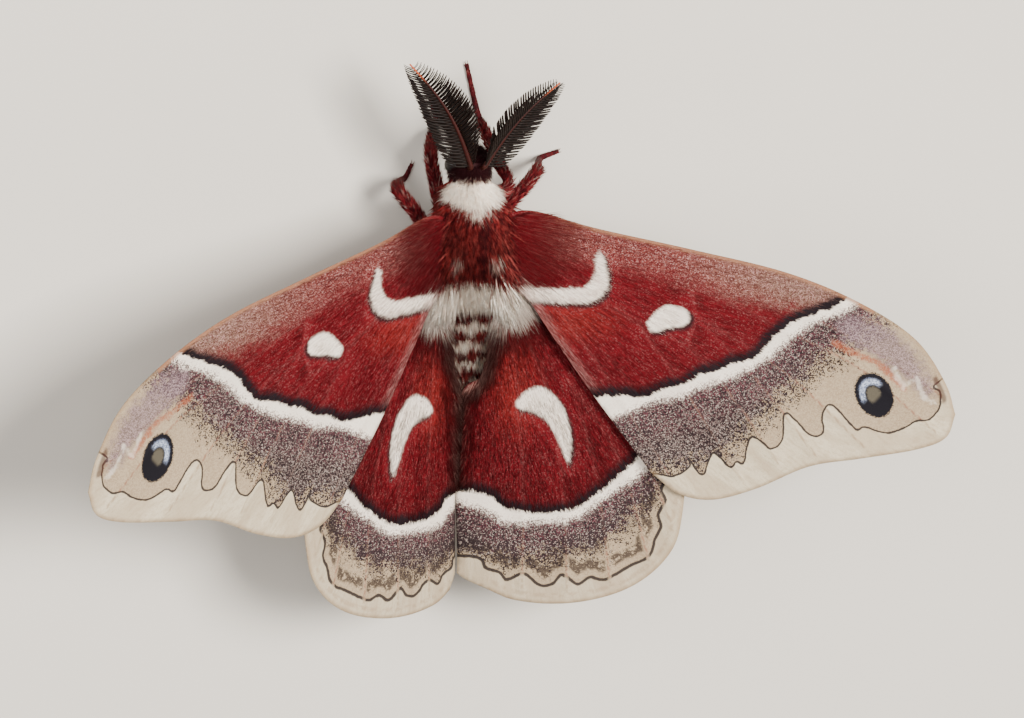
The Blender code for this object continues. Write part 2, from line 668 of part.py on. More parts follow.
def vane_solid(root, direction, normal, length):
    """One tapered vane of the antenna's comb."""
    across = direction.cross(normal).normalized()
    verts = []
    for t, scale in VANE_STATIONS:
        half = VANE_THICKNESS / 2 * scale
        centre = root + direction * length * t
        for a, b in ((-1, -1), (1, -1), (1, 1), (-1, 1)):
            verts.append(centre + across * half * a + normal * half * b)
    verts.append(root + direction * length)
    faces = [(0, 3, 2, 1)]
    for ring in (0, 4):
        faces += [(ring + s, ring + (s + 1) % 4, ring + 4 + (s + 1) % 4, ring + 4 + s)
                  for s in range(4)]
    faces += [(8 + s, 8 + (s + 1) % 4, 12) for s in range(4)]
    return closed_object("vane", verts, faces)


def build_antennae():
    """Both feathery antennae, each a shaft with two rows of vanes."""
    for side in ("left", "right"):
        points, normal, across = shaft_line(side)
        foot = ANTENNA_FOOT + Vector((0.0, 0.0, ROOT_HEIGHT))
        foot.x *= -1.0 if side == "left" else 1.0
        radii = [SHAFT_RADIUS * (SHAFT_THICK_END - SHAFT_TAPER * i / SHAFT_STEPS)
                 for i in range(len(points))]
        limb = tube_solid([foot] + points, radii[:1] + radii, SHAFT_SIDES)
        shaft = closed_object(f"antenna_{side}", *limb)
        vanes = []
        for i in range(VANE_COUNT):
            t = VANE_FIRST + VANE_SPAN * i / (VANE_COUNT - 1)
            place = t * (len(points) - 1)
            low = int(place)
            root = points[low].lerp(points[min(low + 1, len(points) - 1)], place - low)
            along = (points[min(low + 1, len(points) - 1)] - points[low]).normalized()
            wave = math.sin(math.pi * (BLADE_START + BLADE_SPAN * t) ** BLADE_SKEW)
            reach = BLADE_HALF_WIDTH * wave ** BLADE_FULLNESS
            for sign in (-1.0, 1.0):
                outwards = across.x * sign * root.x > 0.0
                lean = VANE_LEAN["outer" if outwards else "inner"]
                direction = across * sign * math.sin(lean) + along * math.cos(lean)
                length = reach / math.sin(lean)
                if not outwards:
                    room = abs(root.x) - VANE_THICKNESS / 2 - GAP
                    length = min(length, room / abs(direction.x))
                vanes.append(vane_solid(root, direction, normal, length))
        apply_boolean(shaft, "UNION", vanes)
        cutters = [core_solid("cut", HEAD_CORE, GAP)]
        finish_node(apply_boolean(shaft, "DIFFERENCE", cutters), "antenna")


def leg_solid(name, joints):
    """One leg from hip to toe; its underside is flat where it stands."""
    line = smooth_line(joints, LEG_STEPS)
    verts, faces = tube_solid(line[:, :3], line[:, 3], LEG_SIDES)
    for vert in verts:
        vert.z = max(vert.z, 0.0)
    return closed_object(name, verts, faces)


def build_legs():
    """The six legs, each clear of the thorax that it grows from."""
    for name, joints in LEGS.items():
        cutters = [core_solid("cut", THORAX_CORE, GAP), core_solid("cut", COLLAR_CORE, GAP),
                   core_solid("cut", ABDOMEN_CORE, GAP)]
        finish_node(apply_boolean(leg_solid(name, joints), "DIFFERENCE", cutters), "leg")


def clear_scene():
    """Removes whatever the scene holds."""
    for obj in list(bpy.data.objects):
        bpy.data.objects.remove(obj)


def main():
    clear_scene()
    chance = random.Random(7)
    build_wings()
    build_thorax(chance)
    build_collar(chance)
    build_abdomen(chance)
    build_head(chance)
    build_antennae()
    build_legs()


main()
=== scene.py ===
"""Finish of a Glover's silkmoth at life size: scaled wings, furred body and feathery antennae.

Sizes in the tables are in millimetres, apart from those of the stage. Flat wing points run
outwards and forwards from the middle of the wing line, and body heights are counted from the
plane of the wing roots.
"""

import math

import bmesh
import bpy
import numpy as np
from bpy.props import FloatProperty, FloatVectorProperty, PointerProperty
from mathutils import Matrix, Vector
from mathutils.geometry import delaunay_2d_cdt


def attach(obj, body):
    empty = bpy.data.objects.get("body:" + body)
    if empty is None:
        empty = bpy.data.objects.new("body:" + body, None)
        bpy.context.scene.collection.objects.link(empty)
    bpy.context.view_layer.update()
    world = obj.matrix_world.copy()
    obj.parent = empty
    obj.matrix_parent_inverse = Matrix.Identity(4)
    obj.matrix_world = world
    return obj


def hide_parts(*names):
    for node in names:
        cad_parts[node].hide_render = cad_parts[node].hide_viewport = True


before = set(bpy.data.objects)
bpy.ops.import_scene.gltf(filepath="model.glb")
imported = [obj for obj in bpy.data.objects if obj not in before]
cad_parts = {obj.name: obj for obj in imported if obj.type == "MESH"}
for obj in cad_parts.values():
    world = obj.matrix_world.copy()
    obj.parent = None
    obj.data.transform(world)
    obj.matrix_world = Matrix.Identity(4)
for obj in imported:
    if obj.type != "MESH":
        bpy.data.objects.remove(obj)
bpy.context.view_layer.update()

bl_info = {
    "name": "Glover's Silkmoth",
    "version": (1, 0, 0),
    "blender": (4, 5, 0),
    "location": "3D View > Sidebar > Silkmoth",
    "description": "Builds the finish of a Glover's silkmoth around its solid model",
    "category": "Object",
}

MM = 0.001
SIDES = {"left": -1.0, "right": 1.0}

# Height of the wing roots over the floor, and the middle of the outline, which is the origin.
ROOT_HEIGHT = 10.0
OUTLINE_MIDDLE = np.array((0.61, 2.63, 0.0))

# The wing sheet: its slope falls from the root outwards.
ROOT_SLOPE = math.radians(25.4)
TIP_SLOPE = math.radians(18.8)
SLOPE_FADE = 13.0
SHEET_RUN = np.linspace(0.0, 60.0, 601)
SHEET_SLOPE = TIP_SLOPE + (ROOT_SLOPE - TIP_SLOPE) * np.exp(-SHEET_RUN / SLOPE_FADE)
SHEET_STEP = SHEET_RUN[1]
SHEET_ACROSS = np.append(0.0, np.cumsum(np.cos(SHEET_SLOPE[:-1]) * SHEET_STEP))
SHEET_RISE = np.append(0.0, np.cumsum(np.sin(SHEET_SLOPE[:-1]) * SHEET_STEP))

# Reach of a vein's ridge and of the sagging membrane beside it, and the height of its ripples.
VEIN_REACH = 0.3
SAG_REACH = 1.4
RIPPLE_HEIGHT = 0.16

# The wing's mesh in shares of its step: along the edge, from row to row and beside the edge.
EDGE_STEP = 0.9
ROW_STEP = 0.87
EDGE_ROOM = 0.55

# How far each pair lies over the sheet, its turn about a pivot, the warm middle of its red field
# and the point that its hair lies away from.
WING_LAYER = {"forewing": 0.65, "hindwing": -0.65}
WING_SWEEP = {"forewing": math.radians(1.6), "hindwing": math.radians(1.3)}
WING_PIVOT = {"forewing": (3.6, 15.3), "hindwing": (3.15, 7.2)}
GLOW_CENTRE = {"forewing": (11.0, 4.0), "hindwing": (5.5, -4.0)}
GLOW_REACH = {"forewing": (9.0, 4.0), "hindwing": (5.0, 9.0)}
WING_HAIR_SOURCE = {"forewing": (-3.0, 17.0), "hindwing": (1.0, 15.0)}

# Outlines of the wings: front edge, outer margin and inner margin.
FOREWING_COSTA = [(3.4, 16.2), (7.0, 16.8), (14.2, 14.7), (25.0, 12.1), (36.0, 9.2),
                  (44.3, 5.6), (50.8, 1.2), (54.3, -4.0), (55.5, -7.8)]
FOREWING_MARGIN = [(55.5, -7.8), (54.4, -10.5), (51.0, -11.8), (44.5, -12.7), (38.5, -13.5),
                   (32.5, -16.0), (27.5, -17.2), (23.5, -16.4), (20.3, -13.8)]
FOREWING_INNER = [(20.3, -13.8), (14.0, -5.0), (9.2, 2.2), (6.2, 6.8), (3.4, 9.4)]
HINDWING_COSTA = [(3.4, 8.5), (6.5, 7.8), (12.0, 4.8), (18.0, 0.2), (22.5, -5.0),
                  (24.8, -10.0), (25.2, -14.5)]
HINDWING_MARGIN = [(25.2, -14.5), (24.8, -18.8), (23.9, -22.6), (21.5, -25.7), (18.0, -27.9),
                   (13.5, -29.1), (9.0, -29.4), (5.0, -28.9), (2.4, -27.8)]
HINDWING_WAIST = [(1.7, -2.6), (3.0, 1.2), (3.4, 4.6)]
HINDWING_INNER_PLACE = {"left": 1.25, "right": -0.8}

# The inner margins turn down behind the waist and form a groove over the abdomen.
FOLD_DEPTH = 1.3
FOLD_WIDTH = 4.5
FOLD_START = -2.0
FOLD_LENGTH = 11.0

# Veins from the base outwards.
WING_VEINS = {
    "forewing": [
        [(6.5, 15.2), (24.0, 10.9), (37.0, 7.5), (47.0, 2.9)],
        [(6.5, 14.0), (24.0, 8.4), (40.0, 3.4), (54.0, -5.6)],
        [(25.0, 7.9), (36.0, 2.4), (44.5, -2.2), (53.2, -9.8)],
        [(25.5, 4.4), (36.0, -2.6), (45.0, -11.4)],
        [(25.5, 4.4), (33.0, -3.8), (39.3, -12.2)],
        [(6.5, 12.6), (15.0, 6.0), (24.5, 0.8), (30.5, -6.2), (35.0, -13.2)],
        [(18.5, 4.2), (25.5, -6.2), (30.7, -14.9)],
        [(6.0, 10.2), (13.5, 0.2), (22.3, -14.0)],
        [(25.0, 7.9), (25.5, 4.4), (24.5, 0.8)],
    ],
    "hindwing": [
        [(6.0, 7.0), (14.0, 1.4), (21.5, -6.6), (24.0, -13.6)],
        [(6.0, 6.2), (12.5, -0.6), (19.0, -9.0), (23.4, -19.8)],
        [(12.0, -3.4), (17.4, -12.0), (20.9, -24.4)],
        [(12.0, -3.4), (14.8, -14.0), (16.4, -26.9)],
        [(5.6, 5.0), (9.0, -3.6), (11.0, -15.0), (11.4, -27.9)],
        [(5.0, 3.8), (6.0, -6.0), (6.4, -18.0), (6.2, -27.6)],
    ],
}

# Hairs to a square millimetre of a wing, how far from their source they grow long, the share
# of hairs added there, their half widths and how close to the edge they stand.
HAIR_DENSITY = {"forewing": 48.0, "hindwing": 66.0}
LONG_HAIR_REACH = 17.0
BASE_HAIR_SHARE = 0.35
HAIR_HALF_WIDTH = (0.026, 0.042)
HAIR_EDGE_ROOM = {"forewing": 0.3, "hindwing": 0.08}

# The fringe on the hindwing's inner margin: its line, its number of hairs, where it ends and
# which way it turns the hair.
HINDWING_FRINGE = [(3.2, 4.2), (2.8, 1.2), (1.8, -2.4), (0.3, -6.0), (0.0, -12.0), (0.0, -19.0)]
FRINGE_COUNT = 3400
FRINGE_END = -19.0
FRINGE_LIE = (-0.75, -0.7)

# Markings of the forewing, from the base outwards.
BASE_MARK = [(2.0, 9.2), (7.0, 8.2), (10.5, 7.9), (13.0, 8.2), (13.9, 9.6), (14.1, 11.6),
             (14.9, 11.9), (15.6, 9.7), (15.5, 7.7), (14.2, 6.3), (12.0, 5.9), (8.0, 6.3),
             (4.0, 6.8)]
DISC_MARK = [(19.8, 3.5), (21.0, 5.0), (22.5, 5.7), (24.4, 5.2), (25.0, 4.3), (24.5, 3.2),
             (22.5, 2.9), (20.5, 2.5)]
BAND_INNER = [(10.0, -4.7), (14.0, -4.7), (17.0, -4.7), (19.0, -4.9), (20.5, -4.6), (22.0, -3.9),
              (24.0, -3.5), (26.0, -2.4), (28.0, -1.9), (30.0, -1.1), (32.0, -0.8), (33.2, 0.3),
              (34.2, 1.5), (35.3, 2.6), (37.0, 3.6), (39.0, 4.4), (41.8, 5.5), (46.0, 8.5)]
BAND_OUTER = [(10.0, -7.9), (15.4, -7.9), (17.0, -7.2), (21.0, -5.8), (24.0, -5.3), (26.0, -4.3),
              (30.0, -3.0), (34.0, -1.0), (36.0, 0.7), (38.0, 2.2), (40.0, 3.3), (42.8, 4.3),
              (47.0, 7.0)]
DUSK_END = [(14.0, -14.0), (18.0, -13.0), (22.0, -12.7), (25.0, -12.0), (28.0, -11.8),
            (29.2, -10.2), (31.0, -8.4), (33.0, -6.6), (35.0, -4.6), (37.2, -2.8), (40.0, -0.5),
            (43.0, 1.8), (50.0, 6.6)]
SCALLOP = [(17.0, -15.0), (20.5, -14.0), (23.0, -14.3), (24.8, -13.2), (24.6, -12.2),
           (26.3, -14.3), (27.5, -11.7), (29.4, -13.4), (30.2, -12.7), (31.0, -13.0),
           (31.7, -10.0), (32.8, -10.2), (34.2, -11.3), (35.5, -10.2), (35.7, -7.2),
           (37.0, -8.0), (38.7, -9.8), (40.2, -9.6), (40.1, -7.5), (40.8, -6.3), (42.0, -7.0),
           (44.0, -9.3), (45.0, -9.0), (47.5, -9.8), (49.5, -9.3), (51.0, -8.4), (52.5, -8.3),
           (53.6, -7.0), (53.7, -5.0), (53.1, -4.2), (58.0, -1.0)]
SPOT_CENTRE = (46.1, -5.3)
SPOT_TILT = math.radians(28.0)
SPOT_HALF = (2.1, 2.8)
APEX_PATCH = [(42.0, 3.9), (45.5, 3.6), (49.5, 0.8), (52.2, -3.0), (52.4, -5.6), (49.6, -3.4),
              (46.0, -0.6), (43.0, 1.2)]
APEX_STREAK = [(41.5, 0.9), (44.0, -0.4), (46.5, -1.6), (49.6, -4.6)]
APEX_ZIGZAG = [(48.4, -2.2), (49.5, -4.5), (51.0, -3.3), (51.8, -5.7), (53.0, -6.4)]
TIP_MARK = [(53.4, -3.6), (54.2, -5.8)]
COSTAL_STRIP = [(2.0, 13.2), (10.0, 11.5), (20.0, 9.5), (30.0, 6.5), (40.0, 4.5), (46.0, 2.5)]
COSTAL_CORNERS = [(46.0, 20.0), (2.0, 20.0)]

# Markings of the hindwing.
LUNULE = [(5.4, -5.9), (6.4, -4.5), (8.0, -3.7), (9.4, -4.1), (11.0, -6.0), (12.0, -9.0),
          (12.0, -11.5), (11.7, -13.0), (11.1, -12.0), (10.3, -10.0), (9.2, -8.1), (7.6, -6.9),
          (6.0, -6.5)]
HIND_BASE_MARK = [(1.0, 9.5), (6.6, 9.0), (7.4, 6.8), (6.8, 4.7), (5.4, 4.0), (3.6, 4.3),
                  (2.0, 4.9)]
HIND_BAND_INNER = [(-4.0, -15.6), (2.0, -16.3), (4.0, -17.8), (6.0, -18.3), (9.0, -18.5),
                   (12.0, -18.1), (15.0, -16.3), (17.6, -14.0), (21.0, -11.0), (27.0, -7.5)]
HIND_BAND_OUTER = [(-4.0, -17.0), (1.8, -18.6), (4.0, -20.0), (8.0, -20.0), (12.0, -19.7),
                   (14.0, -18.7), (16.0, -17.2), (19.5, -14.9), (22.5, -12.5), (28.0, -9.0)]
HIND_DUSK_END = [(-4.0, -23.0), (2.5, -23.9), (8.0, -24.3), (12.0, -23.4), (15.0, -23.0),
                 (18.0, -20.6), (20.5, -18.5), (22.5, -15.5), (28.0, -12.0)]
HIND_SCALLOP = [(-4.0, -24.0), (1.2, -24.0), (2.0, -25.2), (3.6, -25.7), (4.5, -26.6),
                (6.4, -25.8), (8.2, -27.2), (9.8, -27.0), (10.9, -25.9), (12.6, -27.1),
                (14.0, -26.3), (15.6, -26.6), (17.4, -25.8), (18.8, -25.0), (20.5, -24.2),
                (21.3, -23.2), (21.6, -21.9), (22.3, -20.4), (22.0, -18.9), (22.8, -17.2),
                (22.6, -15.4), (28.0, -12.0)]

# Lines that part the zones of a wing, and the corners that close them on the outer side.
ZONE_LINES = {
    "forewing": {"band": BAND_INNER, "band_end": BAND_OUTER, "dusk_end": DUSK_END,
                 "scallop": SCALLOP},
    "hindwing": {"band": HIND_BAND_INNER, "band_end": HIND_BAND_OUTER,
                 "dusk_end": HIND_DUSK_END, "scallop": HIND_SCALLOP},
}
ZONE_CORNERS = {"forewing": [(62.0, 10.0), (62.0, -24.0), (8.0, -24.0)],
                "hindwing": [(36.0, -12.0), (36.0, -36.0), (-6.0, -36.0)]}

# The skin of head, collar, thorax and abdomen as (y, middle height, half width, half height).
BODY_SECTIONS = [(23.85, -0.4, 0.3, 0.3), (23.7, -0.4, 0.8, 0.9), (23.2, -0.3, 1.5, 1.5),
                 (22.3, -0.1, 2.05, 1.9), (21.2, 0.0, 2.05, 1.9), (20.3, 0.05, 2.0, 1.8),
                 (18.8, 0.1, 2.8, 2.5), (17.25, -0.3, 3.2, 3.0), (15.2, -0.9, 4.2, 4.1),
                 (12.5, -1.2, 4.9, 4.7), (9.5, -1.3, 4.8, 4.6), (7.0, -1.4, 4.4, 4.2),
                 (5.0, -2.2, 4.1, 3.8), (1.0, -3.9, 4.1, 3.5), (-2.3, -4.6, 3.8, 3.3),
                 (-6.0, -5.3, 3.4, 3.0), (-10.0, -5.9, 2.8, 2.6), (-13.5, -6.2, 1.9, 1.9),
                 (-15.4, -6.4, 0.9, 0.9), (-15.7, -6.4, 0.3, 0.3)]
BODY_SIDES = 72
BODY_STEPS = 7

# Length of the abdomen's segments and depth of the grooves between them.
SEGMENT_LENGTH = 2.4
SEGMENT_GROOVE = 0.12

# How deep the body's tufts are rooted, and the least height of the legs' hair over the floor.
ROOT_DEPTH = 0.15
FLOOR_CLEARANCE = 0.02

EYE_PLACE = (1.95, 22.0, -0.3)

# Antennae: where the shaft leaves the head, where the blade starts and ends, how far it bows
# forwards, how it is turned about its length, its width and its distance from the middle.
ANTENNA_FOOT = np.array((0.7, 21.6, 1.2))
ANTENNA_ROOT = np.array((0.8, 22.0, 2.6))
ANTENNA_TIPS = {"left": np.array((-8.8, 34.2, 3.6)), "right": np.array((9.5, 31.5, 3.6))}
ANTENNA_BOW = 1.0
ANTENNA_TURN = math.radians(36.0)
BLADE_HALF_WIDTH = 3.2
MIDLINE_ROOM = 0.3
RAMUS_LEAN = {"outer": math.radians(66.0), "inner": math.radians(86.0)}
SHAFT_SIDES = 10
SHAFT_POINTS = 77

# Rows of rami along the shaft, and on each side two ranks with their place and tilt.
RAMI_ROWS = np.linspace(0.02, 0.95, 34)
RAMI_RANKS = ((0.0, 0.26), (0.10, -0.06))

# Legs as (x, y, height over the floor, skin radius) from the hip to the toe.
LEGS = {
    "leg_front_left": [(-1.6, 15.6, 5.0, 0.5), (-2.0, 18.6, 4.7, 0.6), (-3.0, 22.0, 5.5, 0.5),
                       (-2.2, 23.6, 3.6, 0.5), (-1.2, 24.8, 1.6, 0.36), (-0.5, 25.8, 0.34, 0.3),
                       (-1.3, 28.8, 0.26, 0.22)],
    "leg_front_right": [(1.6, 15.6, 5.0, 0.5), (4.0, 17.2, 5.4, 0.6), (6.2, 18.8, 6.0, 0.5),
                        (5.5, 21.8, 4.2, 0.5), (5.1, 24.2, 2.0, 0.36), (4.6, 26.6, 0.38, 0.34),
                        (3.2, 32.2, 0.28, 0.24)],
    "leg_mid_left": [(-2.2, 12.4, 4.4, 0.5), (-5.0, 16.0, 6.0, 0.6), (-7.0, 18.4, 6.3, 0.5),
                     (-6.4, 19.0, 3.8, 0.5), (-5.2, 19.2, 1.6, 0.36), (-4.2, 19.3, 0.34, 0.3),
                     (-3.4, 20.8, 0.26, 0.22)],
    "leg_mid_right": [(2.2, 12.4, 4.4, 0.5), (6.2, 16.2, 5.6, 0.6), (9.6, 19.6, 5.6, 0.5),
                      (11.0, 20.4, 3.4, 0.5), (12.0, 20.8, 1.4, 0.36), (12.8, 21.0, 0.38, 0.34),
                      (14.8, 21.6, 0.28, 0.24)],
    "leg_hind_left": [(-2.4, 8.6, 4.6, 0.5), (-7.0, 5.4, 6.2, 0.55), (-9.8, 2.4, 6.6, 0.4),
                      (-11.0, -2.4, 3.6, 0.42), (-11.8, -5.8, 1.4, 0.3),
                      (-12.2, -7.4, 0.34, 0.26), (-13.2, -11.6, 0.24, 0.2)],
    "leg_hind_right": [(2.4, 8.6, 4.6, 0.5), (7.0, 5.4, 6.2, 0.55), (9.8, 2.4, 6.6, 0.4),
                       (11.0, -2.4, 3.6, 0.42), (11.8, -5.8, 1.4, 0.3),
                       (12.2, -7.4, 0.34, 0.26), (13.2, -11.6, 0.24, 0.2)],
}

LEG_SIDES = 14
LEG_STEPS = 8
LEG_HAIRS_PER_MM = 200

# Size of the patch that one tuft takes up in its piece's unwrap.
TUFT_PATCH = 0.003

# The stage, in metres: half the floor's side, the lamps as (name, place, size, share of the key
# power, colour) and the point that they face.
FLOOR_HALF = 1.2
LAMPS = [("key", (0.21, 0.12, 0.68), 0.30, 1.0, (1.0, 0.96, 0.90)),
         ("side", (-0.40, 0.10, 0.55), 0.5, 0.36, (1.0, 0.98, 0.96))]
LAMP_AIM = Vector((0.0, 0.0, 0.01))

# The photograph's view: turn about the body, pitch, roll, distance and lens.
CAMERA_TURN = math.radians(21.7)
CAMERA_PITCH = math.radians(-10.2)
CAMERA_ROLL = math.radians(0.9)
CAMERA_DISTANCE = 0.630
CAMERA_AIM = Vector((0.00317, -0.00263, 0.0145))


def paint(red, green, blue):
    """A linear colour from the eight-bit screen values of a swatch."""
    return tuple((c / 255.0) ** 2.2 for c in (red, green, blue))


class SilkmothWings(bpy.types.PropertyGroup):
    """Sizes and colours of the wings."""

    thickness: FloatProperty(
        name="Thickness", description="Thickness of the wing membrane", default=0.0003,
        unit="LENGTH", subtype="DISTANCE")
    vein_relief: FloatProperty(
        name="Vein Relief", description="How far the veins stand out", default=0.00014,
        unit="LENGTH", subtype="DISTANCE")
    sag: FloatProperty(
        name="Sag", description="How far the membrane sinks between veins", default=0.00016,
        unit="LENGTH", subtype="DISTANCE")
    mesh_step: FloatProperty(
        name="Mesh Step", description="Distance between the points of a wing's mesh",
        default=0.0004, unit="LENGTH", subtype="DISTANCE")
    hair_length: FloatProperty(
        name="Hair Length", description="Length of the hair on the wings", default=0.0012,
        unit="LENGTH", subtype="DISTANCE")
    field: FloatVectorProperty(
        name="Field", description="Colour of the red field", default=paint(100, 20, 28),
        subtype="COLOR")
    warm: FloatVectorProperty(
        name="Warm", description="Colour of the hindwing's glowing middle",
        default=paint(134, 43, 38), subtype="COLOR")
    frost: FloatVectorProperty(
        name="Frost", description="Colour of the pale scales over the red",
        default=paint(188, 140, 134), subtype="COLOR")
    dusk: FloatVectorProperty(
        name="Dusk", description="Colour of the dark speckles", default=paint(44, 35, 36),
        subtype="COLOR")
    pale: FloatVectorProperty(
        name="Pale", description="Colour of the bands and spots", default=paint(240, 228, 212),
        subtype="COLOR")
    buff: FloatVectorProperty(
        name="Buff", description="Colour between the speckles and the margin",
        default=paint(170, 150, 124), subtype="COLOR")
    margin: FloatVectorProperty(
        name="Margin", description="Colour of the outer margin", default=paint(203, 189, 162),
        subtype="COLOR")


class SilkmothCoat(bpy.types.PropertyGroup):
    """Colours of the body's fur."""

    crimson: FloatVectorProperty(
        name="Crimson", description="Main colour of the fur", default=paint(120, 28, 29),
        subtype="COLOR")
    orange: FloatVectorProperty(
        name="Orange", description="Warm colour on the back", default=paint(138, 52, 46),
        subtype="COLOR")
    cream: FloatVectorProperty(
        name="Cream", description="Colour of the collar and bands", default=paint(255, 244, 228),
        subtype="COLOR")
    # Also the colour of the painted shade on the flanks, at the roots and between the locks of the
    # fur.
    shadow: FloatVectorProperty(
        name="Shadow", description="Dark purple brown of the midline", default=paint(44, 12, 18),
        subtype="COLOR")


class SilkmothParts(bpy.types.PropertyGroup):
    """Sizes and colours of eyes, antennae and legs."""

    eye_radius: FloatProperty(
        name="Eye Radius", description="Radius of an eye", default=0.00096, unit="LENGTH",
        subtype="DISTANCE")
    eye_colour: FloatVectorProperty(
        name="Eye", description="Colour of the eyes", default=paint(24, 14, 12), subtype="COLOR")
    ramus_colour: FloatVectorProperty(
        name="Comb", description="Colour of the antennae's combs", default=paint(21, 14, 12),
        subtype="COLOR")
    shaft_colour: FloatVectorProperty(
        name="Shaft", description="Colour of the antennae's shafts", default=paint(54, 21, 17),
        subtype="COLOR")
    leg_colour: FloatVectorProperty(
        name="Legs", description="Colour of the legs", default=paint(122, 18, 32),
        subtype="COLOR")


class SilkmothStage(bpy.types.PropertyGroup):
    """Floor, light and camera."""

    floor_colour: FloatVectorProperty(
        name="Floor", description="Colour of the floor", default=paint(214, 208, 198),
        subtype="COLOR")
    key_power: FloatProperty(
        name="Key Power", description="Power of the main lamp", default=11.0, unit="POWER")
    fill_strength: FloatProperty(
        name="Fill Strength", description="Strength of the light from all round", default=0.36)
    lens: FloatProperty(
        name="Lens", description="Focal length of the camera", default=193.8, unit="CAMERA")


def smooth_line(points, steps):
    """A Catmull-Rom line through the points, with `steps` pieces to a span."""
    control = np.array(points, float)
    control = np.vstack([2 * control[0] - control[1], control, 2 * control[-1] - control[-2]])
    t = (np.arange(steps) / steps)[:, None]
    line = []
    for a, b, c, d in zip(control, control[1:], control[2:], control[3:]):
        line.append(0.5 * (2 * b + (c - a) * t + (2 * a - 5 * b + 4 * c - d) * t * t
                           + (3 * b - a - 3 * c + d) * t ** 3))
    return np.vstack(line + [control[-2]])


def evenly(line, step):
    """The same line with points about `step` apart."""
    run = np.append(0.0, np.cumsum(np.linalg.norm(np.diff(line, axis=0), axis=1)))
    at = np.linspace(0.0, run[-1], max(2, round(run[-1] / step) + 1))
    return np.column_stack([np.interp(at, run, column) for column in line.T])


def distance(points, line):
    """Shortest distance from each flat point to an open line."""
    best = np.full(len(points), np.inf)
    for start, end in zip(line[:-1], line[1:]):
        along = end - start
        length = max(along @ along, 1e-12)
        t = np.clip((points - start) @ along / length, 0.0, 1.0)
        gap = points - start - t[:, None] * along
        best = np.minimum(best, (gap ** 2).sum(1))
    return np.sqrt(best)


def inside(points, polygon):
    """Which flat points lie inside a closed polygon."""
    x, y = points.T
    result = np.zeros(len(points), bool)
    for (x0, y0), (x1, y1) in zip(polygon, np.roll(polygon, -1, axis=0)):
        if y0 != y1:
            crosses = (y0 > y) != (y1 > y)
            result ^= crosses & (x < x0 + (y - y0) * (x1 - x0) / (y1 - y0))
    return result


def patch_field(points, outline):
    """Distance to a rounded patch's edge, negative inside it."""
    ring = smooth_line(outline + outline[:1], 5)
    gap = distance(points, ring)
    return np.where(inside(points, ring[:-1]), -gap, gap)


def line_field(points, line, corners):
    """Distance to a line, positive on the side of the corners."""
    curve = smooth_line(line, 5)
    gap = distance(points, curve)
    return np.where(inside(points, np.vstack([curve, corners])), gap, -gap)


def ramp(value, low, high):
    """0 at `low` and 1 at `high`, with soft ends."""
    t = np.clip((value - low) / (high - low), 0.0, 1.0)
    return t * t * (3.0 - 2.0 * t)


def unit(vectors):
    """The same vectors with length one."""
    return vectors / np.maximum(np.linalg.norm(vectors, axis=-1, keepdims=True), 1e-12)


def ring_walls(rings, sides):
    """Faces of the wall of a tube whose points stand in rings."""
    faces = []
    for ring in range(rings - 1):
        for s in range(sides):
            a, b = ring * sides + s, ring * sides + (s + 1) % sides
            faces.append((a, b, b + sides, a + sides))
    return faces


def ring_caps(rings, sides):
    """Faces that close the two ends of such a tube."""
    last = (rings - 1) * sides
    return [tuple(range(sides)), tuple(range(last, last + sides))]


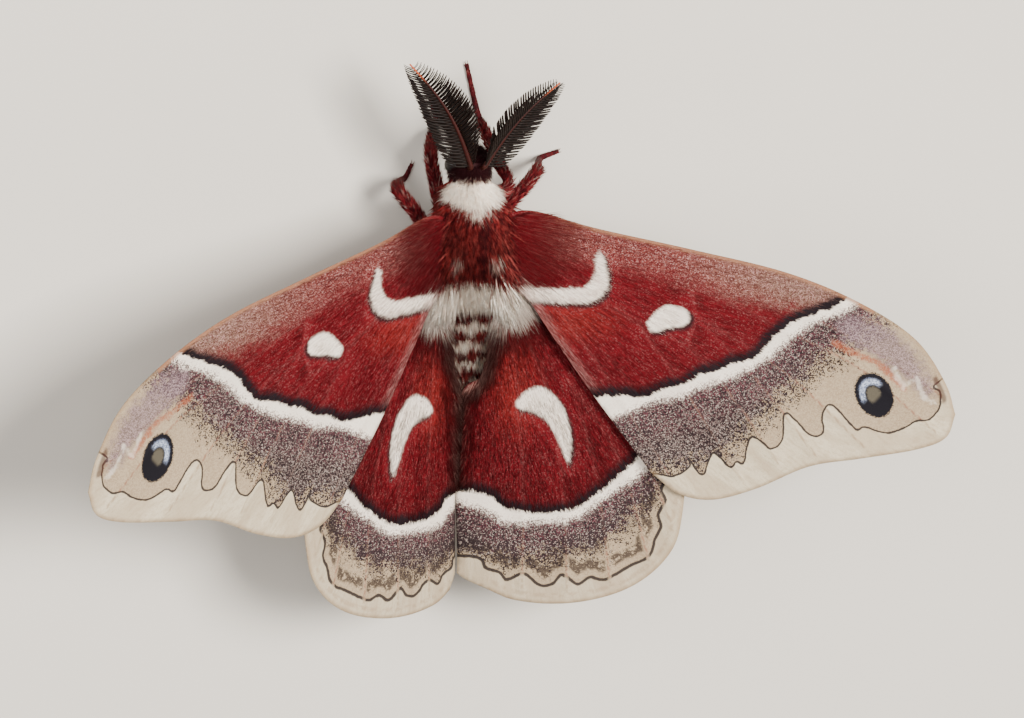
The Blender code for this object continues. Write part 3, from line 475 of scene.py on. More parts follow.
class Wing:
    """Outline, placing and markings of one wing."""

    def __init__(self, kind, side):
        self.kind = kind
        self.name = f"{kind}_{side}"
        self.sign = SIDES[side]
        self.inner = HINDWING_INNER_PLACE[side] if kind == "hindwing" else None
        if kind == "forewing":
            self.costa, self.margin, inner = FOREWING_COSTA, FOREWING_MARGIN, FOREWING_INNER
        else:
            self.costa, self.margin = HINDWING_COSTA, HINDWING_MARGIN
            inner = [(2.4, -27.8), (self.inner + 0.15, -26.2), (self.inner, -24.0),
                     (self.inner, -6.0)] + HINDWING_WAIST
        self.inner_edge = inner

    def outline(self, step):
        """The closed flat outline, without its repeated last point."""
        runs = [evenly(smooth_line(run, 8), step)
                for run in (self.costa, self.margin, self.inner_edge)]
        return np.vstack([runs[0][:-1], runs[1][:-1], runs[2]])

    def veins(self):
        """Centre lines of the veins."""
        return [evenly(smooth_line(points, 6), 0.8) for points in WING_VEINS[self.kind]]

    def place(self, flat, offset=0.0):
        """World places in metres of flat points, `offset` millimetres over the sheet."""
        u, v = flat.T
        drop = 0.0
        if self.inner is not None:
            along = ramp(-v, -FOLD_START, FOLD_LENGTH - FOLD_START)
            drop = FOLD_DEPTH * along * np.clip(1.0 - (u - self.inner) / FOLD_WIDTH, 0.0, 9.0) ** 2
        pivot = WING_PIVOT[self.kind]
        c = math.cos(self.sign * WING_SWEEP[self.kind])
        s = math.sin(self.sign * WING_SWEEP[self.kind])
        across_run = pivot[0] + c * (u - pivot[0]) - s * (v - pivot[1])
        y = pivot[1] + s * (u - pivot[0]) + c * (v - pivot[1])
        slope = np.interp(across_run, SHEET_RUN, SHEET_SLOPE)
        before = np.minimum(across_run, 0.0)
        across = np.interp(across_run, SHEET_RUN, SHEET_ACROSS) + before * math.cos(ROOT_SLOPE)
        rise = np.interp(across_run, SHEET_RUN, SHEET_RISE) + before * math.sin(ROOT_SLOPE)
        x = self.sign * (across - offset * np.sin(slope))
        z = ROOT_HEIGHT + WING_LAYER[self.kind] + rise - drop + offset * np.cos(slope)
        return (np.column_stack([x, y, z]) - OUTLINE_MIDDLE) * MM

    def relief(self, fields):
        """Middle of the wing over its sheet, half its thickness and the height of its veins."""
        wings = bpy.context.scene.silkmoth_wings
        rim = np.minimum(fields["edge"], fields["inner"])
        red = ramp(fields["band"], 1.0, -1.0) * ramp(fields["edge"], 1.5, 3.0)
        vein = wings.vein_relief / MM * np.exp(-(fields["vein"] / VEIN_REACH) ** 2)
        vein *= 1.0 - 0.75 * red
        sag = -wings.sag / MM * (1.0 - np.exp(-(fields["vein"] / SAG_REACH) ** 2))
        sag *= ramp(rim, 0.0, 2.0)
        ray, reach = fields["ray"][:, 0], fields["ray"][:, 1]
        wave = RIPPLE_HEIGHT * np.sin(ray * 0.9) * ramp(reach, 12.0, 40.0)
        half = wings.thickness / MM / 2 * (0.35 + 0.65 * ramp(rim, 0.0, 0.9))
        return sag + wave, half, vein

    def fields(self, flat):
        """Distances in millimetres from which the wing's markings are painted."""
        count = len(flat)
        away = np.full(count, 9.0)
        edge = np.minimum(distance(flat, smooth_line(self.costa, 5)),
                          distance(flat, smooth_line(self.margin, 5)))
        source = np.array(WING_HAIR_SOURCE[self.kind])
        reach = np.linalg.norm(flat - source, axis=1)
        angle = np.arctan2(flat[:, 1] - source[1], flat[:, 0] - source[0])
        seed = np.full(count, 7.0 * self.sign + (20.0 if self.kind == "hindwing" else 0.0))
        fields = {
            "flat": np.column_stack([flat, seed]),
            "ray": np.column_stack([angle * 20.0, reach, seed]),
            "edge": edge,
            "inner": distance(flat, smooth_line(self.inner_edge, 5)),
            "vein": np.min([distance(flat, line) for line in self.veins()], axis=0),
            "glow": np.linalg.norm((flat - GLOW_CENTRE[self.kind]) / GLOW_REACH[self.kind], axis=1),
        }
        fields |= {label: line_field(flat, line, ZONE_CORNERS[self.kind])
                   for label, line in ZONE_LINES[self.kind].items()}
        if self.kind == "forewing":
            tilt = np.array(((math.cos(SPOT_TILT), math.sin(SPOT_TILT)),
                             (-math.sin(SPOT_TILT), math.cos(SPOT_TILT))))
            spot = (flat - SPOT_CENTRE) @ tilt.T / SPOT_HALF
            fields |= {
                "mark": patch_field(flat, BASE_MARK),
                "mark_edge": patch_field(flat - (0.35, -0.4), BASE_MARK),
                "disc": patch_field(flat, DISC_MARK),
                "disc_edge": patch_field(flat - (0.35, -0.3), DISC_MARK),
                "costal": line_field(flat, COSTAL_STRIP, COSTAL_CORNERS),
                "apex": patch_field(flat, APEX_PATCH),
                "streak": distance(flat, smooth_line(APEX_STREAK, 5)),
                "tip": distance(flat, np.array(TIP_MARK)),
                "zigzag": distance(flat, np.array(APEX_ZIGZAG)),
                "spot": np.column_stack([spot, np.zeros(count)]),
            }
        else:
            fields |= dict.fromkeys(("mark_edge", "apex", "streak", "tip", "zigzag"), away)
            fields |= {
                "mark": patch_field(flat, HIND_BASE_MARK),
                "disc": patch_field(flat, LUNULE),
                "disc_edge": patch_field(flat - (0.3, -0.3), LUNULE),
                "costal": -away,
                "spot": np.column_stack([away, away, away]),
            }
        return fields


WINGS = [Wing(kind, side) for kind in ("forewing", "hindwing") for side in SIDES]


def new_object(name, mesh):
    """An object for a finished mesh, at the origin of the scene."""
    obj = bpy.data.objects.new(name, mesh)
    bpy.context.scene.collection.objects.link(obj)
    return obj


def mesh_object(name, verts, faces, smooth=True):
    """A mesh object from points in metres, with all faces pointing out."""
    mesh = bpy.data.meshes.new(name)
    mesh.from_pydata([tuple(v) for v in verts], [], [tuple(int(i) for i in f) for f in faces])
    work = bmesh.new()
    work.from_mesh(mesh)
    bmesh.ops.recalc_face_normals(work, faces=work.faces)
    work.to_mesh(mesh)
    work.free()
    mesh.polygons.foreach_set("use_smooth", [smooth] * len(mesh.polygons))
    return new_object(name, mesh)


def store(mesh, name, values):
    """Keeps one value or vector for each point of a mesh under a name."""
    values = np.asarray(values, np.float32)
    kind, slot = ("FLOAT", "value") if values.ndim == 1 else ("FLOAT_VECTOR", "vector")
    attribute = mesh.attributes.new(name, kind, "POINT")
    attribute.data.foreach_set(slot, values.ravel())


def finish_piece(obj, slot, *nodes):
    """Lets a piece ride on the body and take the place of CAD nodes."""
    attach(obj, "root")
    if nodes:
        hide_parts(*nodes)


class Painter:
    """Short forms for the nodes of one tree."""

    def __init__(self, tree):
        self.tree = tree

    def feed(self, socket, value):
        """Links or sets one socket."""
        if isinstance(value, bpy.types.NodeSocket):
            self.tree.links.new(value, socket)
        elif isinstance(value, tuple) and len(value) == 3 and socket.type == "RGBA":
            socket.default_value = (*value, 1.0)
        else:
            socket.default_value = value

    def node(self, kind, feeds=None, **settings):
        """A node with its settings and its sockets fed by name."""
        node = self.tree.nodes.new(kind)
        for name, value in settings.items():
            setattr(node, name, value)
        for name, value in (feeds or {}).items():
            self.feed(node.inputs[name], value)
        return node

    def math(self, operation, *values):
        """The result of a math node."""
        node = self.node("ShaderNodeMath", operation=operation)
        for socket, value in zip(node.inputs, values):
            self.feed(socket, value)
        return node.outputs[0]

    def step(self, value, low, high):
        """0 at `low` and 1 at `high`, with soft ends."""
        feeds = {"Value": value, "From Min": low, "From Max": high}
        return self.node("ShaderNodeMapRange", feeds, interpolation_type="SMOOTHSTEP").outputs[0]

    def both(self, *masks):
        """The product of masks."""
        result = masks[0]
        for mask in masks[1:]:
            result = self.math("MULTIPLY", result, mask)
        return result

    def blend(self, mask, under, over, mode="MIX"):
        """`over` laid on `under` where the mask is 1."""
        node = self.node("ShaderNodeMix", data_type="RGBA", blend_type=mode)
        for index, value in ((0, mask), (6, under), (7, over)):
            self.feed(node.inputs[index], value)
        return node.outputs[2]

    def mean(self, first, second):
        """The mean of two values."""
        return self.math("MULTIPLY", self.math("ADD", first, second), 0.5)

    def field(self, name, output="Fac"):
        """A value kept with the mesh."""
        node = self.node("ShaderNodeAttribute", attribute_name=name)
        return node.outputs[output]

    def noise(self, vector, scale, stretch=(1.0, 1.0, 1.0), detail=2.0):
        """Soft noise from 0 to 1 over a vector."""
        scaled = self.node("ShaderNodeVectorMath", operation="MULTIPLY")
        self.feed(scaled.inputs[0], vector)
        scaled.inputs[1].default_value = [scale * s for s in stretch]
        feeds = {"Vector": scaled.outputs[0], "Scale": 1.0, "Detail": detail}
        return self.node("ShaderNodeTexNoise", feeds).outputs["Fac"]

    def cells(self, vector, scale):
        """A random value from 0 to 1 for every wing scale."""
        scaled = self.node("ShaderNodeVectorMath", operation="SCALE")
        self.feed(scaled.inputs[0], vector)
        scaled.inputs["Scale"].default_value = scale
        feeds = {"Vector": scaled.outputs[0], "Scale": 1.0}
        colour = self.node("ShaderNodeTexVoronoi", feeds).outputs["Color"]
        return self.node("ShaderNodeSeparateColor", {"Color": colour}).outputs[0]

    def shifted(self, value, noise, amount):
        """A distance made ragged by noise."""
        offset = self.math("MULTIPLY_ADD", noise, 2.0 * amount, -amount)
        return self.math("ADD", value, offset)


WING_COLOURS = ("Field", "Warm", "Frost", "Dusk", "Pale", "Buff", "Margin")

# Width of the scalloped line, share of pale scales, and 1 on hindwings and on hair.
WING_AMOUNTS = ("Line Width", "Frosting", "Hindwing", "Hair")


class WingPainter(Painter):
    """A painter with the grain, distances and colours that all zones of a wing share."""

    def __init__(self, tree):
        super().__init__(tree)
        self.given = self.node("NodeGroupInput").outputs
        flat = self.field("flat", "Vector")
        self.ray = self.field("ray", "Vector")
        self.scales = self.cells(flat, 8.0)
        self.dust = self.cells(flat, 10.5)
        self.wave = self.noise(flat, 1.5, detail=3.0)
        self.cloud = self.noise(flat, 0.30, detail=1.0)
        self.hair = self.noise(self.ray, 1.0, (5.0, 0.30, 1.0), 3.0)
        self.comb = self.noise(self.ray, 1.0, (8.0, 0.7, 1.0), 2.0)
        self.edge = self.field("edge")
        self.vein = self.field("vein")
        self.reach = self.node("ShaderNodeSeparateXYZ", {"Vector": self.ray}).outputs["Y"]
        self.band = self.shifted(self.field("band"), self.mean(self.wave, self.comb), 0.8)
        end = self.shifted(self.field("band_end"), self.mean(self.wave, self.scales), 0.9)
        self.band_end = self.math("ADD", end, self.both(self.step(self.reach, 16.0, 36.0), 0.4))
        pale = self.blend(self.both(self.step(self.scales, 0.3, 1.0), 0.18),
                          self.given["Pale"], self.given["Frost"])
        # Greyish streaks along the hair over the pale marks in the red field: painted shade between
        # the hairs.
        streaks = self.both(self.step(self.hair, 0.48, 0.70), self.step(self.band, 0.0, -0.8), 0.4)
        self.pale = self.blend(streaks, pale, paint(166, 146, 136))


def red_field(p):
    """The red field, streaked by its hair, warmer in its middle and paler over the veins."""
    deep = p.blend(1.0, p.given["Field"], (0.62, 0.50, 0.56, 1.0), "MULTIPLY")
    red = p.blend(p.step(p.hair, 0.30, 0.68), deep, p.given["Field"])
    glow = p.both(p.step(p.field("glow"), 1.0, 0.0), p.step(p.hair, 0.25, 0.6), 0.6)
    red = p.blend(glow, red, p.given["Warm"])
    red = p.blend(p.both(p.step(p.band, -6.0, -1.0), 0.45), red, deep)
    frosted = p.both(p.step(p.mean(p.comb, p.scales), 0.58, 0.80), 0.16, p.given["Frosting"])
    red = p.blend(frosted, red, p.given["Frost"])
    over_vein = p.both(p.step(p.vein, 0.4, 0.1), p.step(p.dust, 0.35, 0.8), 0.07)
    return p.blend(over_vein, red, p.given["Frost"])


def costal_strip(p, red):
    """The forewing's front strip: dull rose under a dust of pale scales."""
    strip = p.both(p.step(p.shifted(p.field("costal"), p.wave, 1.8), -1.6, 2.2),
                   p.step(p.shifted(p.reach, p.wave, 2.0), 8.0, 17.0))
    scale = p.step(p.scales, 0.2, 0.9)
    rose = p.blend(scale, paint(78, 30, 32), paint(126, 68, 62))
    brown = p.blend(scale, paint(88, 62, 54), paint(138, 112, 98))
    rose = p.blend(p.step(p.reach, 24.0, 44.0), rose, brown)
    red = p.blend(p.both(strip, 0.9), red, rose)
    dusted = p.both(strip, p.step(p.dust, 0.68, 0.90), p.given["Frosting"], 0.65)
    return p.blend(dusted, red, p.given["Frost"])


def dusk_zone(p):
    """Beyond the pale band: dark, plum and pale scales that thin out into buff."""
    from_band, to_end = p.field("band_end"), p.field("dusk_end")
    plum = p.blend(p.step(from_band, 5.0, 0.5), p.given["Dusk"], paint(112, 56, 66))
    grains = p.blend(p.step(p.scales, 0.30, 0.55), p.given["Dusk"], plum)
    grains = p.blend(p.step(p.scales, 0.60, 0.82), grains, paint(106, 90, 86))
    grains = p.blend(p.both(p.step(p.dust, 0.80, 0.92), 0.65), grains, paint(172, 158, 148))
    soot = p.both(p.step(p.shifted(from_band, p.cloud, 3.5), 4.6, 1.0),
                  p.step(p.dust, 0.86, 0.60), 0.65)
    grains = p.blend(soot, grains, (0.018, 0.012, 0.014))
    thinning = p.math("MULTIPLY_ADD", p.scales, 1.5, p.math("MULTIPLY", to_end, 0.42))
    thinning = p.math("ADD", thinning, p.math("MULTIPLY_ADD", p.wave, 2.4, -1.7))
    thinning = p.math("MULTIPLY_ADD", p.given["Hindwing"], 0.5, thinning)
    dull = p.blend(1.0, p.given["Buff"], (0.60, 0.55, 0.50, 1.0), "MULTIPLY")
    buff = p.blend(p.both(p.step(p.scales, 0.2, 0.9), 0.55), p.given["Buff"], dull)
    shaded = p.blend(p.step(to_end, 0.5, -4.0), buff, paint(118, 102, 88))
    distal = p.blend(p.step(thinning, 0.98, 0.66), shaded, grains)
    bare_vein = p.both(p.step(p.vein, 0.22, 0.06), p.step(thinning, 0.75, 1.0), 0.5)
    distal = p.blend(bare_vein, distal, paint(132, 84, 62))
    return p.blend(p.both(p.step(p.vein, 0.20, 0.05), 0.4), distal, paint(134, 98, 84))


def smudges(p, distal):
    """Dusky smudges inside the scalloped line of the hindwing."""
    inner_row = p.math("ADD", p.shifted(p.field("scallop"), p.wave, 0.5), 1.45)
    smudge = p.both(p.step(p.math("ABSOLUTE", inner_row), 0.80, 0.40), p.step(p.wave, 0.39, 0.48),
                    p.step(p.vein, 0.10, 0.5), p.given["Hindwing"])
    blotch = p.both(p.step(p.cloud, 0.42, 0.52), p.step(p.field("dusk_end"), 1.2, -0.8),
                    p.step(p.field("band_end"), 0.8, 2.2), p.step(p.dust, 0.95, 0.55),
                    p.given["Hindwing"])
    distal = p.blend(p.both(blotch, 0.85), distal, (0.024, 0.015, 0.017))
    return p.blend(p.both(smudge, p.step(p.dust, 1.1, 0.8), 0.85), distal, p.given["Dusk"])


def outer_margin(p, distal):
    """The scalloped line, the margin outside it with painted shade along its ridges, and the tan
    edge.
    """
    scallop = p.shifted(p.field("scallop"), p.wave, 0.12)
    ridges = p.noise(p.ray, 1.0, (1.1, 0.10, 1.0), 1.0)
    margin = p.given["Margin"]
    # Buff over the margin: painted shade of its ridges, and its own streaks and grains from the
    # comb and scale noises.
    for grain, low, high, share in ((ridges, 0.42, 0.62, 0.55), (p.comb, 0.44, 0.70, 0.5),
                                    (p.scales, 0.4, 1.0, 0.3)):
        margin = p.blend(p.both(p.step(grain, low, high), share), margin, p.given["Buff"])
    margin = p.blend(p.both(p.step(p.vein, 0.24, 0.05), 0.5), margin, paint(128, 98, 72))
    from_line = p.math("ABSOLUTE", p.math("ADD", p.edge, -1.0))
    inner_line = p.both(p.step(from_line, 0.4, 0.1), p.step(p.wave, 0.40, 0.6),
                        p.given["Hindwing"], 0.4)
    margin = p.blend(inner_line, margin, paint(138, 108, 80))
    margin = p.blend(p.both(p.given["Hindwing"], 0.35), margin, paint(160, 142, 120))
    distal = p.blend(p.step(scallop, -0.06, 0.16), distal, margin)
    half_line = p.math("MULTIPLY", p.given["Line Width"], 0.5)
    line = p.step(p.math("ABSOLUTE", scallop), p.given["Line Width"], half_line)
    on_forewing = p.math("SUBTRACT", 1.0, p.given["Hindwing"])
    solid = p.math("MAXIMUM", p.step(p.vein, 0.06, 0.32), on_forewing)
    distal = p.blend(p.both(line, solid, 0.95), distal, (0.022, 0.016, 0.016))
    return p.blend(p.both(p.step(p.edge, 0.6, 0.1), 0.5), distal, paint(150, 124, 94))


def apex_marks(p, distal):
    """The lilac apex with its brown streak, dark mark and pale zigzag."""
    apex = p.both(p.step(p.shifted(p.field("apex"), p.wave, 1.3), 1.0, -0.8), 0.8)
    lilac = p.blend(p.step(p.dust, 0.2, 0.9), paint(84, 68, 72), paint(150, 126, 130))
    distal = p.blend(apex, distal, lilac)
    streak = p.both(p.step(p.shifted(p.field("streak"), p.wave, 0.5), 0.62, 0.05),
                    p.step(p.scales, -0.5, 0.6), 0.75)
    distal = p.blend(streak, distal, paint(148, 80, 56))
    tip_mark = p.both(p.step(p.shifted(p.field("tip"), p.wave, 0.3), 0.75, 0.25),
                      p.step(p.edge, 0.3, 0.7), 0.75)
    distal = p.blend(tip_mark, distal, paint(66, 42, 36))
    zigzag = p.step(p.shifted(p.field("zigzag"), p.wave, 0.5), 0.45, 0.0)
    return p.blend(p.both(zigzag, 0.45), distal, p.given["Pale"])


def banded(p, red, distal):
    """The red field and the outer zone, with the black edge and the pale band between them."""
    colour = p.blend(p.step(p.band_end, -0.25, 0.35), red, distal)
    soft_black = p.both(p.step(p.band, -1.5, -0.45), p.step(p.band, 0.30, 0.0),
                        p.step(p.band_end, 0.4, -0.2))
    colour = p.blend(soft_black, colour, (0.010, 0.006, 0.008))
    on_band = p.both(p.step(p.band, -0.05, 0.25), p.step(p.band_end, 0.55, -0.35))
    return p.blend(on_band, colour, p.pale)


def pale_mark(p, colour, label, rough, dull):
    """A pale mark with a soft black shade and a worn, ragged edge."""
    shape = p.shifted(p.field(label), p.mean(p.wave, p.comb), rough)
    shade = p.shifted(p.field(label + "_edge"), p.wave, 0.3)
    colour = p.blend(p.both(p.step(shade, 0.35, -0.25), 0.85), colour, (0.012, 0.007, 0.008))
    worn = p.blend(p.both(p.step(p.comb, 0.40, 0.65), dull), p.pale, paint(150, 112, 108))
    return p.blend(p.step(shape, 0.15, -0.40), colour, worn)


def eyespot(p, colour):
    """The forewing's black eyespot with its bluish crescent and olive middle."""
    spot = p.field("spot", "Vector")
    place = p.node("ShaderNodeSeparateXYZ", {"Vector": spot}).outputs
    radius = p.node("ShaderNodeVectorMath", {"Vector": spot}, operation="LENGTH").outputs["Value"]
    ragged = p.shifted(radius, p.dust, 0.05)
    colour = p.blend(p.step(ragged, 1.04, 0.96), colour, (0.008, 0.007, 0.010))
    upper = p.math("MULTIPLY_ADD", place["X"], -0.25, place["Y"])
    crescent = p.both(p.step(ragged, 0.82, 0.68), p.step(radius, 0.40, 0.54),
                      p.step(upper, -0.02, 0.30))
    bluish = p.blend(p.step(p.dust, 0.2, 0.8), paint(98, 106, 130), paint(184, 194, 214))
    colour = p.blend(crescent, colour, bluish)
    olive = p.both(p.step(ragged, 0.46, 0.30), p.step(upper, -0.34, -0.10), 0.85)
    return p.blend(olive, colour, paint(92, 86, 74))


def wing_rims(p, colour):
    """The tan costal edge and the inner margins: frosted on forewings, hairy on hindwings."""
    costal_edge = p.both(p.step(p.edge, 0.60, 0.15), p.step(p.field("costal"), -1.0, 1.0),
                         p.step(p.band_end, 6.0, 2.0), p.step(p.reach, 8.0, 20.0), 0.8)
    colour = p.blend(costal_edge, colour, paint(150, 106, 80))
    rim = p.both(p.step(p.field("inner"), 1.4, 0.2), p.step(p.band, -0.4, -1.4))
    on_forewing = p.math("SUBTRACT", 1.0, p.given["Hindwing"])
    frosted = p.both(rim, on_forewing, p.step(p.comb, 0.35, 0.6), 0.42)
    colour = p.blend(frosted, colour, p.given["Frost"])
    rim_hair = p.blend(p.both(p.step(p.comb, 0.44, 0.60), p.given["Hair"]), paint(66, 22, 22),
                       paint(164, 128, 118))
    return p.blend(p.both(rim, p.given["Hindwing"], 0.85), colour, rim_hair)


def wing_markings():
    """Node group that paints a wing from the distances kept with its mesh."""
    name = "Silkmoth Wing Markings"
    if name in bpy.data.node_groups:
        return bpy.data.node_groups[name]
    tree = bpy.data.node_groups.new(name, "ShaderNodeTree")
    for label in WING_COLOURS:
        tree.interface.new_socket(label, in_out="INPUT", socket_type="NodeSocketColor")
    for label in WING_AMOUNTS:
        tree.interface.new_socket(label, in_out="INPUT", socket_type="NodeSocketFloat")
    tree.interface.new_socket("Color", in_out="OUTPUT", socket_type="NodeSocketColor")
    tree.interface.new_socket("Height", in_out="OUTPUT", socket_type="NodeSocketFloat")
    p = WingPainter(tree)
    distal = apex_marks(p, outer_margin(p, smudges(p, dusk_zone(p))))
    colour = banded(p, costal_strip(p, red_field(p)), distal)
    colour = pale_mark(p, colour, "mark", rough=0.7, dull=0.45)
    colour = pale_mark(p, colour, "disc", rough=0.4, dull=0.15)
    colour = wing_rims(p, eyespot(p, colour))
    p.node("NodeGroupOutput", {"Color": colour, "Height": p.mean(p.hair, p.scales)})
    return tree


def new_material(name):
    """A new material with the painter of its nodes and its shader."""
    material = bpy.data.materials.new(name)
    material.use_nodes = True
    return material, Painter(material.node_tree), material.node_tree.nodes["Principled BSDF"]


def feed_shader(p, shader, colour, height, strength, depth, plain):
    """Gives a shader its colour, its relief up to `depth` metres and its plain numbers."""
    bump = p.node("ShaderNodeBump", {"Height": height, "Strength": strength, "Distance": depth})
    p.feed(shader.inputs["Base Color"], colour)
    p.feed(shader.inputs["Normal"], bump.outputs["Normal"])
    for label, value in plain.items():
        shader.inputs[label].default_value = value


def wing_material(name, under=False, hair=False):
    """Scaled or hairy wing, painted by the markings group and duller on the lower side."""
    if name in bpy.data.materials:
        return bpy.data.materials[name]
    wings = bpy.context.scene.silkmoth_wings
    material, p, shader = new_material(name)
    group = p.node("ShaderNodeGroup", node_tree=wing_markings())
    dim = 0.75 if under else 1.0
    hind = "hindwing" in name
    for label in WING_COLOURS:
        value = tuple(dim * c for c in getattr(wings, label.lower()))
        group.inputs[label].default_value = (*value, 1.0)
    amounts = (0.25 if hind else 0.15, 0.7 if under or hair else 1.0, float(hind), float(hair))
    for label, value in zip(WING_AMOUNTS, amounts):
        group.inputs[label].default_value = value
    feed_shader(p, shader, group.outputs["Color"], group.outputs["Height"], 0.6, 0.00012,
                {"Roughness": 0.75, "Specular IOR Level": 0.10})
    return material


def fur_material(name, base):
    """Fur painted from the pale, warm and dark masks that skin and tufts carry, with painted shade
    and painted glints in its locks.
    """
    if name in bpy.data.materials:
        return bpy.data.materials[name]
    coat = bpy.context.scene.silkmoth_coat
    material, p, shader = new_material(name)
    place = p.node("ShaderNodeTexCoord").outputs["Object"]

    # Noises lengthened along the body: single strands, locks of hair and broad clumps.
    strands = p.noise(place, 5200.0, (1.0, 0.25, 1.0))
    clumps = p.noise(place, 700.0, (1.0, 0.5, 1.0))
    locks = p.noise(place, 2400.0, (1.0, 0.45, 1.0))
    tip = p.field("along")
    shade = p.field("shade")

    # Red fur: tone that differs at random and by broad clumps, painted shade between the locks and
    # at the roots, darker where it is marked dark, painted glints on the locks and lighter tips
    # that are partly painted highlight.
    red = p.blend(p.field("warm"), tuple(base), tuple(coat.orange))
    red = p.blend(p.step(shade, 0.1, 0.8), p.blend(0.65, red, tuple(coat.shadow)), red)
    red = p.blend(p.both(p.step(clumps, 0.4, 0.7), 0.3), red, tuple(coat.shadow))
    # Painted shade between the locks.
    red = p.blend(p.both(p.step(locks, 0.49, 0.60), 0.7), red, tuple(coat.shadow))
    # Painted glints on the locks towards the tips.
    red = p.blend(p.both(p.step(locks, 0.48, 0.38), tip, 0.5), red, paint(178, 80, 76))
    # Lighter tips on some tufts: partly the hair's own colour, partly painted highlight.
    red = p.blend(p.both(tip, p.step(shade, 0.7, 0.95), 0.5), red, paint(190, 100, 92))
    red = p.blend(p.field("dark"), red, tuple(coat.shadow))
    # Painted shade at the roots of the hair.
    red = p.blend(p.both(p.step(tip, 0.35, 0.0), 0.4), red, tuple(coat.shadow))

    # Cream fur, greyer at random, with painted shade between the locks and at the roots.
    grey = p.blend(1.0, tuple(coat.cream), (0.90, 0.81, 0.75, 1.0), "MULTIPLY")
    cream = p.blend(p.step(shade, 0.0, 0.35), grey, tuple(coat.cream))
    # Painted shade between the locks.
    cream = p.blend(p.both(p.step(locks, 0.52, 0.62), 0.75), cream, grey)
    # Painted shade at the roots.
    cream = p.blend(p.both(p.step(tip, 0.3, 0.0), 0.2), cream, grey)
    colour = p.blend(p.field("pale"), red, cream)
    feed_shader(p, shader, colour, strands, 0.5, 0.00006,
                {"Roughness": 0.68, "Specular IOR Level": 0.15})
    return material


def plain_material(name, colour, second, roughness, scale, depth, gloss=0.5, coat=0.0, tip=None):
    """A hard surface mottled between two colours, with a third at its tip if one is given."""
    if name in bpy.data.materials:
        return bpy.data.materials[name]
    material, p, shader = new_material(name)
    mottle = p.noise(p.node("ShaderNodeTexCoord").outputs["Object"], scale, detail=4.0)
    mottled = p.blend(p.step(mottle, 0.35, 0.68), tuple(colour), tuple(second))
    if tip:
        mottled = p.blend(p.step(p.field("along"), 0.78, 0.95), mottled, tip)
    p.feed(shader.inputs["Roughness"], p.math("MULTIPLY_ADD", mottle, 0.2, roughness - 0.1))
    feed_shader(p, shader, mottled, mottle, 0.5, depth,
                {"Coat Weight": coat, "Specular IOR Level": gloss})
    return material


def eye_material():
    """Dark compound eye with its lattice of facets."""
    material, p, shader = new_material("silkmoth eye")
    place = p.node("ShaderNodeTexCoord").outputs["Object"]
    cells = p.node("ShaderNodeTexVoronoi", {"Vector": place, "Scale": 11000.0},
                   feature="DISTANCE_TO_EDGE").outputs["Distance"]
    colour = p.blend(p.step(cells, 0.16, 0.02), tuple(bpy.context.scene.silkmoth_parts.eye_colour),
                     (0.004, 0.003, 0.003))
    feed_shader(p, shader, colour, p.step(cells, 0.0, 0.3), 0.4, 0.00002,
                {"Roughness": 0.32, "Specular IOR Level": 0.35, "Coat Weight": 0.1})
    return material


def boundary_edges(triangles):
    """Directed edges that only one triangle has."""
    directed = {(t[i], t[(i + 1) % 3]) for t in triangles for i in range(3)}
    return [edge for edge in directed if (edge[1], edge[0]) not in directed]


def wing_mesh(wing):
    """One wing as a thin closed sheet with raised veins and its markings' distances."""
    wings = bpy.context.scene.silkmoth_wings
    step = wings.mesh_step / MM
    outline = wing.outline(step * EDGE_STEP)
    low, high = outline.min(0), outline.max(0)
    rows = [np.broadcast_arrays(np.arange(low[0] + (i % 2) * step / 2, high[0], step), v)
            for i, v in enumerate(np.arange(low[1], high[1], step * ROW_STEP))]
    fill = np.hstack(rows).T
    closed = np.vstack([outline, outline[:1]])
    fill = fill[inside(fill, outline)]
    fill = fill[distance(fill, closed) > step * EDGE_ROOM]
    points = np.vstack([outline, fill])
    result = delaunay_2d_cdt([Vector(q) for q in points], [], [list(range(len(outline)))], 1, 1e-5)
    flat = np.array([tuple(q) for q in result[0]])
    triangles = result[2]
    fields = wing.fields(flat)
    middle, half, vein = wing.relief(fields)
    count = len(flat)
    verts = np.vstack([wing.place(flat, middle + half + vein),
                       wing.place(flat, middle - half - 0.5 * vein)])
    faces = [tuple(t) for t in triangles]
    faces += [tuple(count + i for i in reversed(t)) for t in triangles]
    for a, b in boundary_edges(triangles):
        faces.append((b, a, count + a, count + b))
    obj = mesh_object(wing.name, verts, faces)
    for name, values in fields.items():
        store(obj.data, name, np.concatenate([values, values]))
    below = np.zeros(len(faces), int)
    below[len(triangles):2 * len(triangles)] = 1
    obj.data.materials.append(wing_material(f"silkmoth {wing.kind} upper side"))
    obj.data.materials.append(wing_material(f"silkmoth {wing.kind} lower side", under=True))
    obj.data.polygons.foreach_set("material_index", below)
    return obj


def tuft_object(name, strands, thickness, curl):
    """A tuft of unit length along Y: three-sided strands that bend down to a point."""
    verts, faces = [], []
    for offset, spread, half, length in strands:
        first = len(verts)
        for corner in range(3):
            angle = 2 * math.pi * corner / 3 + math.pi / 2
            verts.append((offset + math.cos(angle) * half, 0.0, math.sin(angle) * thickness))
        verts.append((offset + spread, length, -curl * length ** 2))
        faces.append((first + 2, first + 1, first))
        faces += [(first + s, first + (s + 1) % 3, first + 3) for s in range(3)]
    obj = mesh_object(name, verts, faces)
    store(obj.data, "along", [y for x, y, z in verts])
    store(obj.data, "tuft_uv", [(0.5 + 0.4 * x, y, 0.0) for x, y, z in verts])
    return obj


